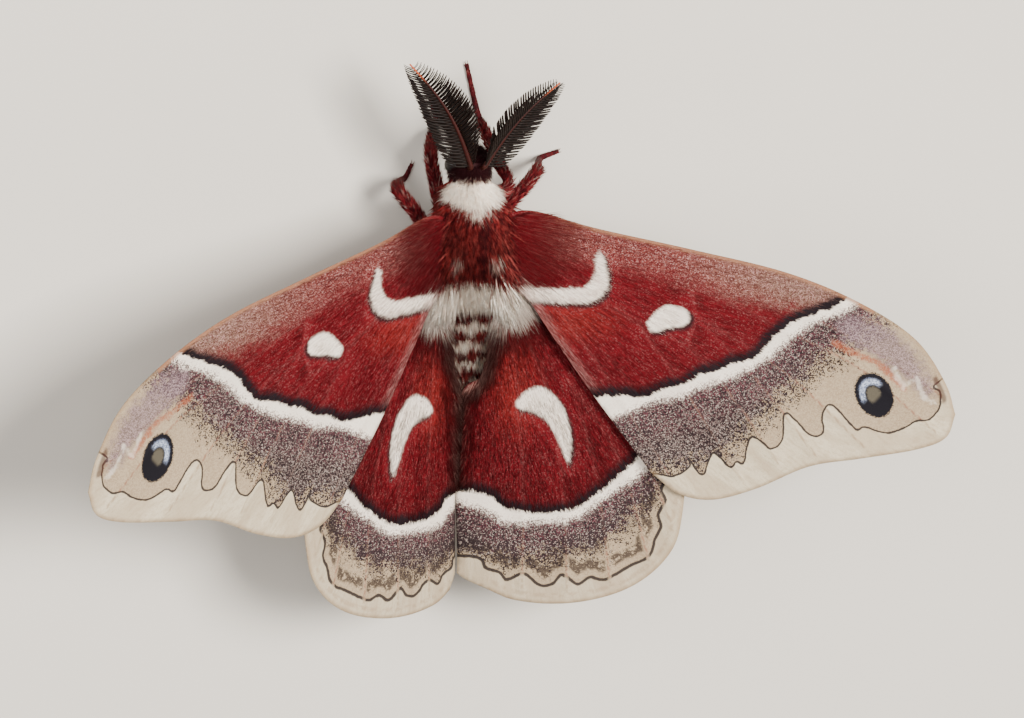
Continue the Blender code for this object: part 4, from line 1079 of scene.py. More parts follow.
def tuft_tree(name, bake_patch=True):
    """Geometry Nodes that set one tuft on every root point."""
    tree = bpy.data.node_groups.new(name, "GeometryNodeTree")
    for label, kind in (("Roots", "NodeSocketGeometry"), ("Tuft", "NodeSocketObject"),
                        ("Finish", "NodeSocketMaterial"), ("Patch", "NodeSocketFloat")):
        tree.interface.new_socket(label, in_out="INPUT", socket_type=kind)
    tree.interface.new_socket("Coat", in_out="OUTPUT", socket_type="NodeSocketGeometry")
    p = Painter(tree)
    given = p.node("NodeGroupInput").outputs

    def kept(label):
        """A vector kept with the root points or with the tuft."""
        node = p.node("GeometryNodeInputNamedAttribute", {"Name": label},
                      data_type="FLOAT_VECTOR")
        return node.outputs["Attribute"]

    turn = p.node("FunctionNodeEulerToRotation", {"Euler": kept("turn")}).outputs[0]
    source = p.node("GeometryNodeObjectInfo", {"Object": given["Tuft"]})
    placed = p.node("GeometryNodeInstanceOnPoints",
                    {"Points": given["Roots"], "Instance": source.outputs["Geometry"],
                     "Rotation": turn, "Scale": kept("size")})
    solid = p.node("GeometryNodeRealizeInstances", {"Geometry": placed.outputs[0]}).outputs[0]
    if bake_patch:
        spread = p.node("ShaderNodeVectorMath", operation="SCALE")
        p.feed(spread.inputs[0], kept("tuft_uv"))
        p.feed(spread.inputs["Scale"], given["Patch"])
        where = p.node("ShaderNodeVectorMath", operation="ADD")
        p.feed(where.inputs[0], kept("root_uv"))
        p.feed(where.inputs[1], spread.outputs[0])
        solid = p.node("GeometryNodeStoreNamedAttribute",
                       {"Geometry": solid, "Name": "OFBake", "Value": where.outputs[0]},
                       data_type="FLOAT2", domain="CORNER").outputs[0]
    for label in ("turn", "size", "root_uv", "tuft_uv"):
        solid = p.node("GeometryNodeRemoveAttribute", {"Geometry": solid, "Name": label}).outputs[0]
    done = p.node("GeometryNodeSetMaterial", {"Geometry": solid, "Material": given["Finish"]})
    p.node("NodeGroupOutput", {"Coat": done.outputs[0]})
    return tree


def turns(lie, normal, lift):
    """Euler angles that lay a tuft along `lie`, raised from the skin by `lift` degrees."""
    lie = unit(lie - normal * (lie * normal).sum(1, keepdims=True))
    angle = np.radians(np.broadcast_to(lift, len(lie)))[:, None]
    along = lie * np.cos(angle) + normal * np.sin(angle)
    up = normal * np.cos(angle) - lie * np.sin(angle)
    side = np.cross(along, up)
    return np.column_stack([np.arctan2(along[:, 2], up[:, 2]),
                            -np.arcsin(np.clip(side[:, 2], -1.0, 1.0)),
                            np.arctan2(side[:, 1], side[:, 0])])


def grow(name, tuft, material, places, turn, size, root_uv, fields):
    """Tufts on root points as one plain mesh."""
    mesh = bpy.data.meshes.new(name)
    mesh.from_pydata([tuple(q) for q in places], [], [])
    roots = new_object(name, mesh)
    store(mesh, "turn", turn)
    store(mesh, "size", size)
    if root_uv is not None:
        store(mesh, "root_uv", np.column_stack([root_uv, np.zeros(len(places))]))
    for label, values in fields.items():
        store(mesh, label, values)
    tree = tuft_tree(name, root_uv is not None)
    modifier = roots.modifiers.new("Tufts", "NODES")
    modifier.node_group = tree
    values = {"Tuft": tuft, "Finish": material, "Patch": TUFT_PATCH}
    for item in tree.interface.items_tree:
        if item.in_out == "INPUT" and item.name in values:
            modifier[item.identifier] = values[item.name]
    graph = bpy.context.evaluated_depsgraph_get()
    result = bpy.data.meshes.new_from_object(
        roots.evaluated_get(graph), preserve_all_data_layers=True, depsgraph=graph)
    roots.modifiers.clear()
    bpy.data.objects.remove(roots)
    return new_object(name, result)


def sow(outline, density, chance):
    """Random flat points inside an outline, `density` to a square millimetre."""
    low, high = outline.min(0), outline.max(0)
    count = int((high - low).prod() * density)
    points = chance.uniform(low, high, (count, 2))
    return points[inside(points, outline)]


def wing_hair_roots(wing, chance):
    """Flat roots: more of them at the wing's base and along the hindwing's inner margin."""
    outline = wing.outline(1.0)
    flat = sow(outline, HAIR_DENSITY[wing.kind], chance)
    base = flat[np.linalg.norm(flat - WING_HAIR_SOURCE[wing.kind], axis=1) < LONG_HAIR_REACH]
    flat = np.vstack([flat, base[chance.uniform(0.0, 1.0, len(base)) < BASE_HAIR_SHARE]])
    if wing.inner is not None:
        line = evenly(smooth_line(HINDWING_FRINGE, 6), 0.02)
        roots = line[chance.integers(0, len(line), FRINGE_COUNT)]
        roots[:, 0] += np.where(roots[:, 1] < -3.0, wing.inner, 0.0)
        flat = np.vstack([flat, roots + chance.uniform((0.1, 0.0), (1.6, 0.1), roots.shape)])
        flat = flat[inside(flat, outline)]
    return flat


def wing_hair(wing, chance, tuft):
    """Fine hair that lies outwards over the wing's base and red field."""
    flat = wing_hair_roots(wing, chance)
    fields = wing.fields(flat)
    reach = fields["ray"][:, 1]
    fade = 1.0 if wing.kind == "hindwing" else 0.35 + 0.65 * ramp(reach, 50.0, 22.0)
    keep = (fields["band"] < 0.1) & (fields["edge"] > HAIR_EDGE_ROOM[wing.kind])
    keep &= chance.uniform(0.0, 1.0, len(flat)) < fade
    flat, reach = flat[keep], reach[keep]
    fields = {label: values[keep] for label, values in fields.items()}
    lie = unit(flat - np.array(WING_HAIR_SOURCE[wing.kind]))
    fringe = np.zeros(len(flat))
    if wing.inner is not None:
        fringe = ramp(fields["inner"], 1.6, 0.8) * ramp(flat[:, 1], FRINGE_END, FRINGE_END + 6.0)
        lie = unit(lie + fringe[:, None] * np.array(FRINGE_LIE))
    lie = unit(lie + chance.normal(0.0, 0.10, lie.shape))
    middle, half, vein = wing.relief(fields)
    seat = middle + 0.6 * half + vein
    here = wing.place(flat, seat)
    ahead = wing.place(flat + lie * 0.1, seat) - here
    over = wing.place(flat, seat + 1.0) - here
    marked = np.minimum(fields["mark"], fields["disc"]) if wing.inner is None else fields["disc"]
    near_mark = ramp(np.abs(marked), 1.0, 0.2) * ramp(reach, 8.0, 11.0)
    length = bpy.context.scene.silkmoth_wings.hair_length / MM
    size = length * chance.uniform(0.7, 1.25, len(flat)) * (1.0 - 0.4 * near_mark)
    size *= 1.0 + 1.4 * ramp(reach, LONG_HAIR_REACH, 7.0) + 0.7 * fringe
    size = np.minimum(size, np.maximum(-fields["band"], 0.0) + 0.45)
    width = chance.uniform(*HAIR_HALF_WIDTH, len(flat)) * (1.0 + 0.5 * ramp(reach, 17.0, 8.0))
    lift = chance.uniform(3.0, 8.0, len(flat)) + 6.0 * ramp(reach, 16.0, 7.0) + 3.0 * fringe
    low, high = flat.min(0), flat.max(0)
    material = wing_material(f"silkmoth {wing.kind} hair", hair=True)
    mixed = chance.normal(0.0, 1.0, flat.shape) * (0.16 + 0.6 * ramp(reach, 16.0, 9.0))[:, None]
    return grow(f"hair_{wing.name}", tuft, material, here, turns(unit(ahead), unit(over), lift),
                np.column_stack([width, size, size]) * MM, (flat - low) / (high - low),
                wing.fields(flat + mixed))


BODY_LINE = smooth_line(BODY_SECTIONS, BODY_STEPS)


def body_size(y, column):
    """The body's middle height (1), half width (2) or half height (3) at places along it."""
    return np.interp(y, BODY_LINE[::-1, 0], BODY_LINE[::-1, column])


def skin_place(y, angle):
    """Points and outward normals on the body's skin, with angles counted from its top."""
    middle, width, depth = [body_size(y, column) for column in (1, 2, 3)]
    before, after = body_size(y - 0.2, 2), body_size(y + 0.2, 2)
    point = np.column_stack([width * np.sin(angle), y,
                             ROOT_HEIGHT + middle + depth * np.cos(angle)])
    normal = np.column_stack([np.sin(angle) / width, (before - after) / 0.4 / width,
                              np.cos(angle) / depth])
    return (point - OUTLINE_MIDDLE) * MM, unit(normal)


def body_masks(y, angle, ragged):
    """Pale, warm and dark shares of the fur at places on the body; the dark share on the flanks is
    painted shade.
    """
    across = body_size(y, 2) * np.sin(angle)
    top = np.cos(angle)
    at = y + 0.16 * ragged

    # Pale: the collar with its pointed hem, the waist, two spots and the abdomen's wavy rings.
    hem = at - 0.45 * np.abs(across)
    collar = ramp(hem, 17.3, 17.7) * ramp(at, 20.9, 20.4) * ramp(top, 0.0, 0.3)
    waist = ramp(at, 6.7, 7.0) * ramp(at, 10.3, 9.8) * ramp(top, -0.3, 0.1)
    spots = ramp(np.hypot(np.abs(across + 0.3) - 2.2, at - 12.6), 0.8, 0.2)
    banded = y + 0.22 * ragged + 0.3 * np.sin(1.9 * across + 2.1 * y)
    rings = 0.5 + 0.5 * np.cos(2 * math.pi * (banded - 4.3) / SEGMENT_LENGTH)
    rings = ramp(rings, 0.58, 0.78) * ramp(at, 6.2, 5.6)
    pale = np.clip(collar + waist + 0.6 * spots * (top > 0.3) + rings, 0.0, 1.0)

    # Warm: two stripes beside the middle of the thorax, fading towards the collar.
    warm = 0.85 * ramp(np.abs(np.abs(across) - 2.4), 1.3, 0.3) * ramp(at, 10.0, 12.0)
    warm = warm * (0.15 + 0.85 * ramp(at, 16.0, 13.5)) * ramp(at, 17.6, 16.4) * ramp(top, 0.2, 0.6)

    # Dark: the thorax's middle line and the head, and painted shade on the thorax's flanks.
    ridge = ramp(np.abs(across - 0.25), 0.65, 0.3) * ramp(at, 10.4, 11.2) * ramp(at, 17.6, 16.8)
    # Painted shade down the thorax's sides, where they meet the wings.
    flank = ramp(top, 0.78, 0.52) * ramp(at, 8.5, 10.5) * ramp(at, 17.5, 15.0)
    crown = ramp(at, 20.5, 21.0)
    dark = np.clip(0.8 * ridge * (top > 0) + 0.8 * flank + crown, 0.0, 1.0) * (1.0 - pale)
    return pale, warm, dark


def body_skin():
    """The skin of head, collar, thorax and abdomen in one piece."""
    rings = len(BODY_LINE)
    angle = np.linspace(0.0, 2 * math.pi, BODY_SIDES, endpoint=False)
    y = np.repeat(BODY_LINE[:, 0], BODY_SIDES)
    around = np.tile(angle, rings)
    place, normal = skin_place(y, around)
    groove = np.cos(math.pi * (y - 5.5) / SEGMENT_LENGTH) ** 12 * ramp(y, 5.0, 4.0)
    place -= normal * (SEGMENT_GROOVE * groove * MM)[:, None]
    obj = mesh_object("body_skin", place,
                      ring_walls(rings, BODY_SIDES) + ring_caps(rings, BODY_SIDES))
    pale, warm, dark = body_masks(y, around, np.zeros(len(y)))
    for label, values in (("pale", pale), ("warm", warm), ("dark", dark),
                          ("shade", np.full(len(y), 0.3)), ("along", np.full(len(y), 0.1))):
        store(obj.data, label, values)
    obj.data.materials.append(fur_material("silkmoth fur",
                                           bpy.context.scene.silkmoth_coat.crimson))
    return obj


# Coat pieces as (name, rear y, front y, widest angle, tufts to a square millimetre,
# length, half width, lift, spread outwards).
COAT_PIECES = [
    ("coat_head", 20.7, 23.7, 180, 130, 1.2, 0.09, 42, 0.35),
    ("coat_collar", 17.5, 20.9, 180, 150, 1.8, 0.09, 38, 0.05),
    ("coat_thorax", 9.9, 18.1, 112, 75, 2.7, 0.12, 20, 0.30),
    ("coat_waist", 6.9, 10.2, 100, 96, 2.4, 0.10, 20, 0.25),
    ("coat_belly", 6.0, 17.6, 180, 9, 2.3, 0.24, 20, 0.1),
    ("coat_back", -3.0, 7.0, 115, 66, 1.6, 0.10, 19, 0.05),
    ("coat_abdomen", -15.3, 6.2, 180, 14, 1.8, 0.20, 15, 0.05),
]

COAT_SLOTS = {"coat_collar": "cream", "coat_back": "abdomen", "coat_abdomen": "abdomen"}

# Long tufts over the wing bases: name, rear y, front y, nearest and furthest angle, count,
# lie, length and lift.
SHOULDER_TUFTS = [
    ("coat_shoulders", 10.2, 18.2, 22, 64, 5400, (0.54, -0.78, 0.30), 3.7, 12),
    ("coat_flanks", 7.2, 10.4, 24, 60, 4800, (0.36, -0.90, 0.22), 3.9, 10),
]


def body_coat(name, y0, y1, widest, density, length, half, lift, spread, chance, tuft):
    """Fur over one stretch of the body, lying rearwards and a little outwards."""
    girth = body_size((y0 + y1) / 2, 2) * 2 * math.radians(widest)
    count = int((y1 - y0) * girth * density)
    y = chance.uniform(y0, y1, count)
    angle = chance.uniform(-1.0, 1.0, count) * math.radians(widest)
    place, normal = skin_place(y, angle)
    lie = np.column_stack([np.sin(angle) * spread, -np.ones(count), np.zeros(count)])
    lie += chance.normal(0.0, 0.16, lie.shape)
    if name == "coat_head":
        # Forwards on the face, rearwards on the crown, and tousled.
        lie[:, 1] = np.where(y > 22.2, 1.0, -0.6)
        lie += chance.normal(0.0, 0.3, lie.shape)
    return coat_piece(name, place, normal, lie, y, angle, length, half, lift, chance, tuft)


def coat_piece(name, place, normal, lie, y, angle, length, half, lift, chance, tuft):
    """One coat piece from its roots, with its markings and its unwrap."""
    count = len(y)
    size = length * chance.uniform(0.5, 1.25, count)
    width = half * chance.uniform(0.7, 1.25, count)
    raised = lift * chance.uniform(0.6, 1.4, count)
    pale, warm, dark = body_masks(y, angle, chance.normal(0.0, 1.0, count))
    if name == "coat_shoulders":
        # Only the rearmost of these long tufts are pale, and the warm stripes show less.
        warm = 0.5 * warm
        pale = pale * ramp(y, 11.2, 10.4)
    fields = {"pale": pale, "warm": warm, "dark": dark,
              "shade": chance.uniform(0.0, 1.0, count)}
    span = max(np.ptp(y), 1e-3)
    unwrap = np.column_stack([angle / (2 * math.pi) + 0.5, (y - y.min()) / span])
    root = place - normal * ROOT_DEPTH * MM
    material = fur_material("silkmoth fur", bpy.context.scene.silkmoth_coat.crimson)
    return grow(name, tuft, material, root, turns(lie, normal, raised),
                np.column_stack([width, size, size]) * MM, unwrap * 0.997, fields)


def shoulder_coat(name, y0, y1, nearest, furthest, count, lie, length, lift, chance, tuft):
    """Long tufts that sweep outwards from the thorax over the wing bases."""
    sign = np.repeat((-1.0, 1.0), count)
    y = chance.uniform(y0, y1, 2 * count)
    out = np.sqrt(chance.uniform(0.0, 1.0, 2 * count))
    angle = np.radians(nearest + (furthest - nearest) * out) * sign
    lie = np.column_stack([sign * lie[0] * (0.4 + 0.6 * out), np.full(2 * count, lie[1]),
                           lie[2] * out])
    lie[:, 0] *= 1.0 + 0.9 * ramp(y, 14.0, 18.0)
    lie += chance.normal(0.0, 0.16, lie.shape)
    place, normal = skin_place(y, angle)
    free = unit(lie)
    normal = unit(normal - free * (normal * free).sum(1, keepdims=True))
    length = length * (0.55 + 0.6 * chance.uniform(0.0, 1.0, 2 * count) ** 2)
    return coat_piece(name, place, normal, lie, y, angle, length, 0.10, lift, chance, tuft)


def tube(path, radii, sides, floor=None):
    """Points and faces of a round limb along a path in millimetres."""
    verts = []
    side = None
    for i, centre in enumerate(path):
        along = unit(path[min(i + 1, len(path) - 1)] - path[max(i - 1, 0)])
        side = np.cross(along, (0.0, 0.0, 1.0)) if side is None else side - along * (side @ along)
        side = unit(side)
        other = np.cross(along, side)
        angle = 2 * math.pi * np.arange(sides)[:, None] / sides
        verts.append(centre + (side * np.cos(angle) + other * np.sin(angle)) * radii[i])
    verts = np.vstack(verts)
    if floor is not None:
        verts[:, 2] = np.maximum(verts[:, 2], floor)
    faces = ring_walls(len(path), sides) + ring_caps(len(path), sides)
    return (verts - OUTLINE_MIDDLE) * MM, faces


def joined(obj, others):
    """One object made of several."""
    with bpy.context.temp_override(active_object=obj, object=obj,
                                   selected_editable_objects=[obj, *others]):
        bpy.ops.object.join()
    return obj


def leg_skin(name, joints):
    """One leg with its tarsal joints and a pair of claws."""
    parts = bpy.context.scene.silkmoth_parts
    line = smooth_line(joints, LEG_STEPS)
    radii = line[:, 3].copy()
    run = np.linspace(0.0, 1.0, len(line))
    tarsus = ramp(run, 0.66, 0.7)
    radii *= 1.0 + 0.16 * tarsus * np.cos(run * 2 * math.pi * 22)
    leg = mesh_object(name, *tube(line[:, :3], radii, LEG_SIDES, 0.0))
    toe, ahead = line[-1, :3], unit(line[-1, :3] - line[-3, :3])
    side = unit(np.cross(ahead, (0.0, 0.0, 1.0)))
    horn = plain_material("silkmoth claw", paint(58, 20, 14), paint(120, 50, 24), 0.35, 9000.0,
                          0.00001, coat=0.2)
    claws = []
    for sign in (-1.0, 1.0):
        hook = [toe + ahead * on + side * sign * out + (0.0, 0.0, up)
                for on, out, up in ((-0.2, 0.06, 0.0), (0.2, 0.16, 0.06), (0.42, 0.22, -0.08))]
        path = smooth_line(hook, 4)
        claw = mesh_object("claw", *tube(path, np.linspace(0.07, 0.015, len(path)), 6, 0.01))
        claw.data.materials.append(horn)
        claws.append(claw)
    leg.data.materials.append(fur_material("silkmoth leg", parts.leg_colour))
    leg = joined(leg, claws)
    count = len(leg.data.vertices)
    for label, value in (("pale", 0.0), ("warm", 0.0), ("dark", 0.25), ("shade", 0.3),
                         ("along", 0.1)):
        store(leg.data, label, np.full(count, value))
    return leg


def leg_hair_roots(joints, chance):
    """Roots of one leg's hair: place, direction of the leg, normal, share of its length, angle."""
    line = smooth_line(joints, LEG_STEPS)
    seat = np.append(0.0, np.cumsum(np.linalg.norm(np.diff(line[:, :3], axis=0), axis=1)))
    count = int(seat[-1] * LEG_HAIRS_PER_MM)
    at = chance.uniform(0.02, 0.985, count) * seat[-1]
    before, centre, after = [np.column_stack([np.interp(at + d, seat, line[:, i])
                                              for i in range(3)]) for d in (-0.15, 0.0, 0.15)]
    along = unit(after - before)
    across = unit(np.cross(along, (0.0, 0.0, 1.0)))
    angle = chance.uniform(0.0, 2 * math.pi, count)
    turn = angle[:, None]
    normal = across * np.cos(turn) + np.cross(along, across) * np.sin(turn)
    radius = np.interp(at, seat, line[:, 3])[:, None]
    return centre + normal * radius * 0.8, along, normal, at / seat[-1], angle


def leg_hair(side, chance, tuft):
    """Hair of the three legs of one side, longest on femur and tibia."""
    parts = bpy.context.scene.silkmoth_parts
    roots = []
    for index, (name, joints) in enumerate(sorted(LEGS.items())):
        if name.endswith(side):
            leg = leg_hair_roots(joints, chance)
            roots.append((*leg, np.full(len(leg[0]), index)))
    place, along, normal, share, angle, index = [np.concatenate(part) for part in zip(*roots)]
    tarsus = ramp(share, 0.6, 0.7)
    size = (1.3 - 0.85 * tarsus) * chance.uniform(0.7, 1.2, len(place))
    width = (0.07 - 0.02 * tarsus) * chance.uniform(0.8, 1.2, len(place))
    lift = (27.0 - 11.0 * tarsus) * chance.uniform(0.6, 1.3, len(place))
    keep = place[:, 2] > 0.3
    along = along + chance.normal(0.0, 0.12, along.shape)
    shade = chance.uniform(0.0, 1.0, len(place))
    fields = {"pale": ramp(chance.uniform(0.0, 1.0, len(place)), 0.9, 1.0) * 0.3,
              "warm": 0.25 * ramp(share, 0.9, 1.0), "dark": 0.25 * ramp(shade, 0.4, 0.0),
              "shade": shade}
    fields = {label: values[keep] for label, values in fields.items()}
    # The six legs stand side by side in the unwrap, with room for the last patch.
    unwrap = np.column_stack([(angle / (2 * math.pi) + index) / 6.1, share])
    material = fur_material("silkmoth leg", parts.leg_colour)
    hair = grow(f"hair_legs_{side}", tuft, material, (place[keep] - OUTLINE_MIDDLE) * MM,
                turns(along, normal, lift)[keep],
                np.column_stack([width, size, size])[keep] * MM, unwrap[keep] * 0.995, fields)
    for vert in hair.data.vertices:
        vert.co.z = max(vert.co.z, FLOOR_CLEARANCE * MM)
    return hair


def ramus_object():
    """One curved, tapered ramus of an antenna, of unit length along Y."""
    verts = []
    stations = ((0.0, 1.0), (0.3, 1.0), (0.65, 0.95), (0.93, 0.8))
    for t, taper in stations:
        for corner in range(4):
            angle = math.pi / 4 + corner * math.pi / 2
            verts.append((0.26 * t ** 2.5 + 0.050 * taper * math.cos(angle), t,
                          0.040 * taper * math.sin(angle) + 0.10 * math.sin(math.pi * t * 0.8)))
    verts.append((0.27, 1.0, 0.06))
    last = 4 * (len(stations) - 1)
    faces = [(3, 2, 1, 0)] + ring_walls(len(stations), 4)
    faces += [(last + s, last + (s + 1) % 4, last + 4) for s in range(4)]
    return mesh_object("ramus", verts, faces)


def rami(t, shaft, along, normal, across, sign, chance):
    """Places, turns and sizes of the rami, kept clear of the other antenna."""
    places, turn, size = [], [], []
    for row in RAMI_ROWS:
        centre = np.array([np.interp(row, t, shaft[:, i]) for i in range(3)])
        reach = BLADE_HALF_WIDTH * math.sin(math.pi * (0.15 + 0.82 * row) ** 0.78) ** 0.7
        for way in (-1.0, 1.0):
            leaning = RAMUS_LEAN["outer" if way * across[0] * sign > 0 else "inner"]
            for rank, tilt in RAMI_RANKS:
                lean = leaning - 0.25 * row + chance.normal(0.0, 0.015)
                out = across * way * math.sin(lean) + along * math.cos(lean)
                out = unit(out + normal * tilt)
                length = reach / math.sin(lean)
                if out[0] * sign < 0.0:
                    length = min(length, (abs(centre[0]) - MIDLINE_ROOM) / abs(out[0]))
                face = unit(normal - out * (normal @ out))
                bend = np.cross(out, face)
                if bend @ along < 0:
                    bend, face = -bend, -face
                matrix = Matrix(np.column_stack([bend, out, face]).tolist())
                places.append((centre + along * rank - OUTLINE_MIDDLE) * MM)
                turn.append(tuple(matrix.to_euler()))
                thick = reach * MM
                size.append([thick, length * MM * chance.uniform(0.97, 1.02), thick])
    return np.array(places), np.array(turn), np.array(size)


def antenna(side, ramus, chance):
    """One feathery antenna: a jointed shaft with four rows of rami."""
    parts = bpy.context.scene.silkmoth_parts
    sign = SIDES[side]
    mirror = np.array((sign, 1.0, 1.0))
    raised = np.array((0.0, 0.0, ROOT_HEIGHT))
    root = ANTENNA_ROOT * mirror + raised
    tip = ANTENNA_TIPS[side] + raised
    along = unit(tip - root)
    normal = np.array((sign * math.sin(ANTENNA_TURN), 0.0, math.cos(ANTENNA_TURN)))
    normal = unit(normal - along * (normal @ along))
    across = np.cross(along, normal) * sign
    t = np.linspace(0.0, 1.0, SHAFT_POINTS)
    bow = -ANTENNA_BOW * np.sin(math.pi * t)
    shaft = root + (tip - root) * t[:, None] + across * bow[:, None]
    path = np.vstack([ANTENNA_FOOT * mirror + raised, shaft])
    beads = 1.0 + 0.12 * np.cos(np.arange(len(path)) * math.pi)
    radii = np.append(0.34, 0.30 - 0.21 * t) * beads
    obj = mesh_object(f"antenna_{side}", *tube(path, radii, SHAFT_SIDES))
    obj.data.materials.append(
        plain_material("silkmoth antenna shaft", parts.shaft_colour, paint(46, 18, 14), 0.5,
                       2500.0, 0.00002, gloss=0.2, tip=paint(176, 82, 48)))
    store(obj.data, "along", np.repeat(np.append(0.0, t), SHAFT_SIDES))
    material = plain_material("silkmoth antenna comb", parts.ramus_colour, paint(34, 24, 20),
                              0.5, 3000.0, 0.00001, gloss=0.15)
    rows = rami(t, shaft, along, normal, across, sign, chance)
    return joined(obj, [grow(f"comb_{side}", ramus, material, *rows, None, {})])


def eye(side):
    """One compound eye."""
    parts = bpy.context.scene.silkmoth_parts
    work = bmesh.new()
    bmesh.ops.create_icosphere(work, subdivisions=5, radius=parts.eye_radius)
    place = np.array((SIDES[side] * EYE_PLACE[0], EYE_PLACE[1], ROOT_HEIGHT + EYE_PLACE[2]))
    bmesh.ops.translate(work, verts=work.verts, vec=Vector((place - OUTLINE_MIDDLE) * MM))
    mesh = bpy.data.meshes.new(f"eye_{side}")
    work.to_mesh(mesh)
    work.free()
    mesh.polygons.foreach_set("use_smooth", [True] * len(mesh.polygons))
    return new_object(f"eye_{side}", mesh)


class SILKMOTH_OT_wings(bpy.types.Operator):
    """Builds the four wings with their markings"""

    bl_idname = "silkmoth.wings"
    bl_label = "Build Wings"

    def execute(self, context):
        for wing in WINGS:
            finish_piece(wing_mesh(wing), "wing", wing.name)
        return {"FINISHED"}


class SILKMOTH_OT_wing_hair(bpy.types.Operator):
    """Grows the fine hair on the wings"""

    bl_idname = "silkmoth.wing_hair"
    bl_label = "Grow Wing Hair"

    def execute(self, context):
        chance = np.random.default_rng(11)
        tuft = tuft_object("hair", [(0.0, 0.0, 1.0, 1.0)], 0.014, 0.0)
        for wing in WINGS:
            finish_piece(wing_hair(wing, chance, tuft), "wing")
        bpy.data.objects.remove(tuft)
        return {"FINISHED"}


class SILKMOTH_OT_body(bpy.types.Operator):
    """Builds the body's skin and its fur"""

    bl_idname = "silkmoth.body"
    bl_label = "Build Body"

    def execute(self, context):
        chance = np.random.default_rng(5)
        finish_piece(body_skin(), "fur", "thorax", "collar", "abdomen", "head")
        strands = [(-0.55, -0.35, 0.34, 0.86), (0.0, 0.1, 0.36, 1.0), (0.55, 0.4, 0.32, 0.92)]
        tuft = tuft_object("tuft", strands, 0.03, 0.16)
        for row in COAT_PIECES:
            finish_piece(body_coat(*row, chance, tuft), COAT_SLOTS.get(row[0], "fur"))
        for row in SHOULDER_TUFTS:
            finish_piece(shoulder_coat(*row, chance, tuft), "fur")
        bpy.data.objects.remove(tuft)
        return {"FINISHED"}


class SILKMOTH_OT_head(bpy.types.Operator):
    """Builds the eyes and the antennae"""

    bl_idname = "silkmoth.head"
    bl_label = "Build Eyes and Antennae"

    def execute(self, context):
        chance = np.random.default_rng(3)
        ramus = ramus_object()
        finish = eye_material()
        for side in SIDES:
            ball = eye(side)
            ball.data.materials.append(finish)
            finish_piece(ball, "eye", f"eye_{side}")
            finish_piece(antenna(side, ramus, chance), "antenna", f"antenna_{side}")
        bpy.data.objects.remove(ramus)
        return {"FINISHED"}


class SILKMOTH_OT_legs(bpy.types.Operator):
    """Builds the six legs and their hair"""

    bl_idname = "silkmoth.legs"
    bl_label = "Build Legs"

    def execute(self, context):
        chance = np.random.default_rng(9)
        for name, joints in LEGS.items():
            finish_piece(leg_skin(name, joints), "leg", name)
        tuft = tuft_object("tuft", [(-0.4, -0.3, 0.4, 0.9), (0.4, 0.3, 0.4, 1.0)], 0.04, 0.14)
        for side in SIDES:
            finish_piece(leg_hair(side, chance, tuft), "leg")
        bpy.data.objects.remove(tuft)
        return {"FINISHED"}


class SILKMOTH_OT_stage(bpy.types.Operator):
    """Sets up floor, light and camera"""

    bl_idname = "silkmoth.stage"
    bl_label = "Set Up Stage"

    def execute(self, context):
        stage = context.scene.silkmoth_stage
        corners = [(-FLOOR_HALF, -FLOOR_HALF, 0), (FLOOR_HALF, -FLOOR_HALF, 0),
                   (FLOOR_HALF, FLOOR_HALF, 0), (-FLOOR_HALF, FLOOR_HALF, 0)]
        floor = mesh_object("floor", corners, [(0, 1, 2, 3)], smooth=False)
        floor.data.materials.append(
            plain_material("plain floor", stage.floor_colour,
                           tuple(0.985 * c for c in stage.floor_colour), 0.85, 30.0, 0.00001))
        world = bpy.data.worlds.new("studio")
        world.use_nodes = True
        sky = world.node_tree.nodes["Background"].inputs
        sky["Color"].default_value = (1.0, 0.985, 0.96, 1.0)
        sky["Strength"].default_value = stage.fill_strength
        context.scene.world = world
        for name, place, size, share, colour in LAMPS:
            add_lamp(name, place, size, stage.key_power * share, colour)
        add_camera(stage.lens)
        return {"FINISHED"}


def add_lamp(name, place, size, power, colour):
    """A square lamp that faces the moth."""
    lamp = bpy.data.lights.new(name, "AREA")
    lamp.size = size
    lamp.energy = power
    lamp.color = colour
    obj = bpy.data.objects.new(name, lamp)
    obj.location = place
    obj.rotation_euler = (LAMP_AIM - Vector(place)).to_track_quat("-Z", "Y").to_euler()
    bpy.context.scene.collection.objects.link(obj)


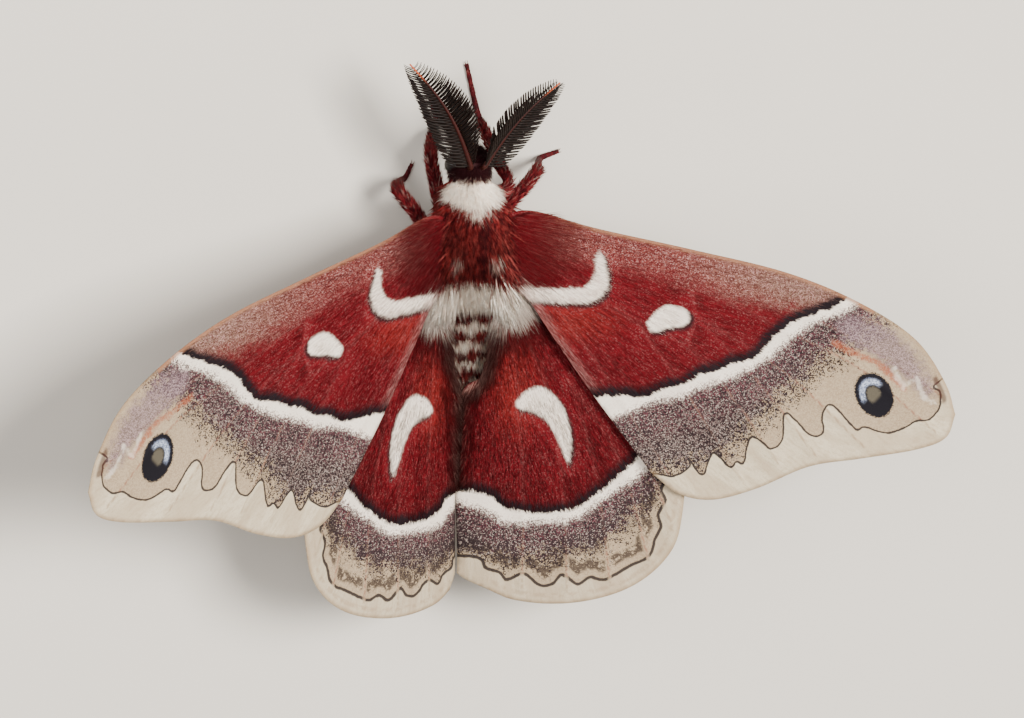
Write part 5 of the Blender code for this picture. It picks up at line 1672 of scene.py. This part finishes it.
def add_camera(lens):
    """The photograph's view from above the moth's left side."""
    c, s = math.cos(CAMERA_TURN), math.sin(CAMERA_TURN)
    right, back, up = Vector((c, 0, s)), Vector((-s, 0, c)), Vector((0, 1, 0))
    c, s = math.cos(CAMERA_PITCH), math.sin(CAMERA_PITCH)
    up, back = up * c + back * s, back * c - up * s
    c, s = math.cos(CAMERA_ROLL), math.sin(CAMERA_ROLL)
    right, up = right * c + up * s, up * c - right * s
    data = bpy.data.cameras.new("view")
    data.lens = lens
    data.sensor_width = 36.0
    data.clip_start = 0.01
    camera = bpy.data.objects.new("view", data)
    turn = Matrix((right, up, back)).transposed().to_4x4()
    camera.matrix_world = Matrix.Translation(CAMERA_AIM + back * CAMERA_DISTANCE) @ turn
    bpy.context.scene.collection.objects.link(camera)
    bpy.context.scene.camera = camera


class SILKMOTH_PT_panel(bpy.types.Panel):
    """Sizes, colours and steps of the silkmoth"""

    bl_idname = "SILKMOTH_PT_panel"
    bl_label = "Silkmoth"
    bl_space_type = "VIEW_3D"
    bl_region_type = "UI"
    bl_category = "Silkmoth"

    def draw(self, context):
        layout = self.layout
        for group, steps in PANEL_ROWS:
            box = layout.box()
            settings = getattr(context.scene, group)
            for name in settings.__annotations__:
                box.prop(settings, name)
            for step in steps:
                box.operator(step)


PANEL_ROWS = [
    ("silkmoth_wings", ("silkmoth.wings", "silkmoth.wing_hair")),
    ("silkmoth_coat", ("silkmoth.body",)),
    ("silkmoth_parts", ("silkmoth.head", "silkmoth.legs")),
    ("silkmoth_stage", ("silkmoth.stage",)),
]
SETTINGS = {"silkmoth_wings": SilkmothWings, "silkmoth_coat": SilkmothCoat,
            "silkmoth_parts": SilkmothParts, "silkmoth_stage": SilkmothStage}
CLASSES = [*SETTINGS.values(), SILKMOTH_OT_wings, SILKMOTH_OT_wing_hair, SILKMOTH_OT_body,
           SILKMOTH_OT_head, SILKMOTH_OT_legs, SILKMOTH_OT_stage, SILKMOTH_PT_panel]


def register():
    """Registers the classes and hangs the settings on the scene."""
    for item in CLASSES:
        bpy.utils.register_class(item)
    for name, group in SETTINGS.items():
        setattr(bpy.types.Scene, name, PointerProperty(type=group))


def unregister():
    """Takes the settings and the classes away again."""
    for name in SETTINGS:
        delattr(bpy.types.Scene, name)
    for item in reversed(CLASSES):
        bpy.utils.unregister_class(item)


def main():
    """Registers the classes and builds all pieces and the stage."""
    register()
    bpy.ops.silkmoth.wings()
    bpy.ops.silkmoth.wing_hair()
    bpy.ops.silkmoth.body()
    bpy.ops.silkmoth.head()
    bpy.ops.silkmoth.legs()
    bpy.ops.silkmoth.stage()


if __name__ == "__main__":
    main()
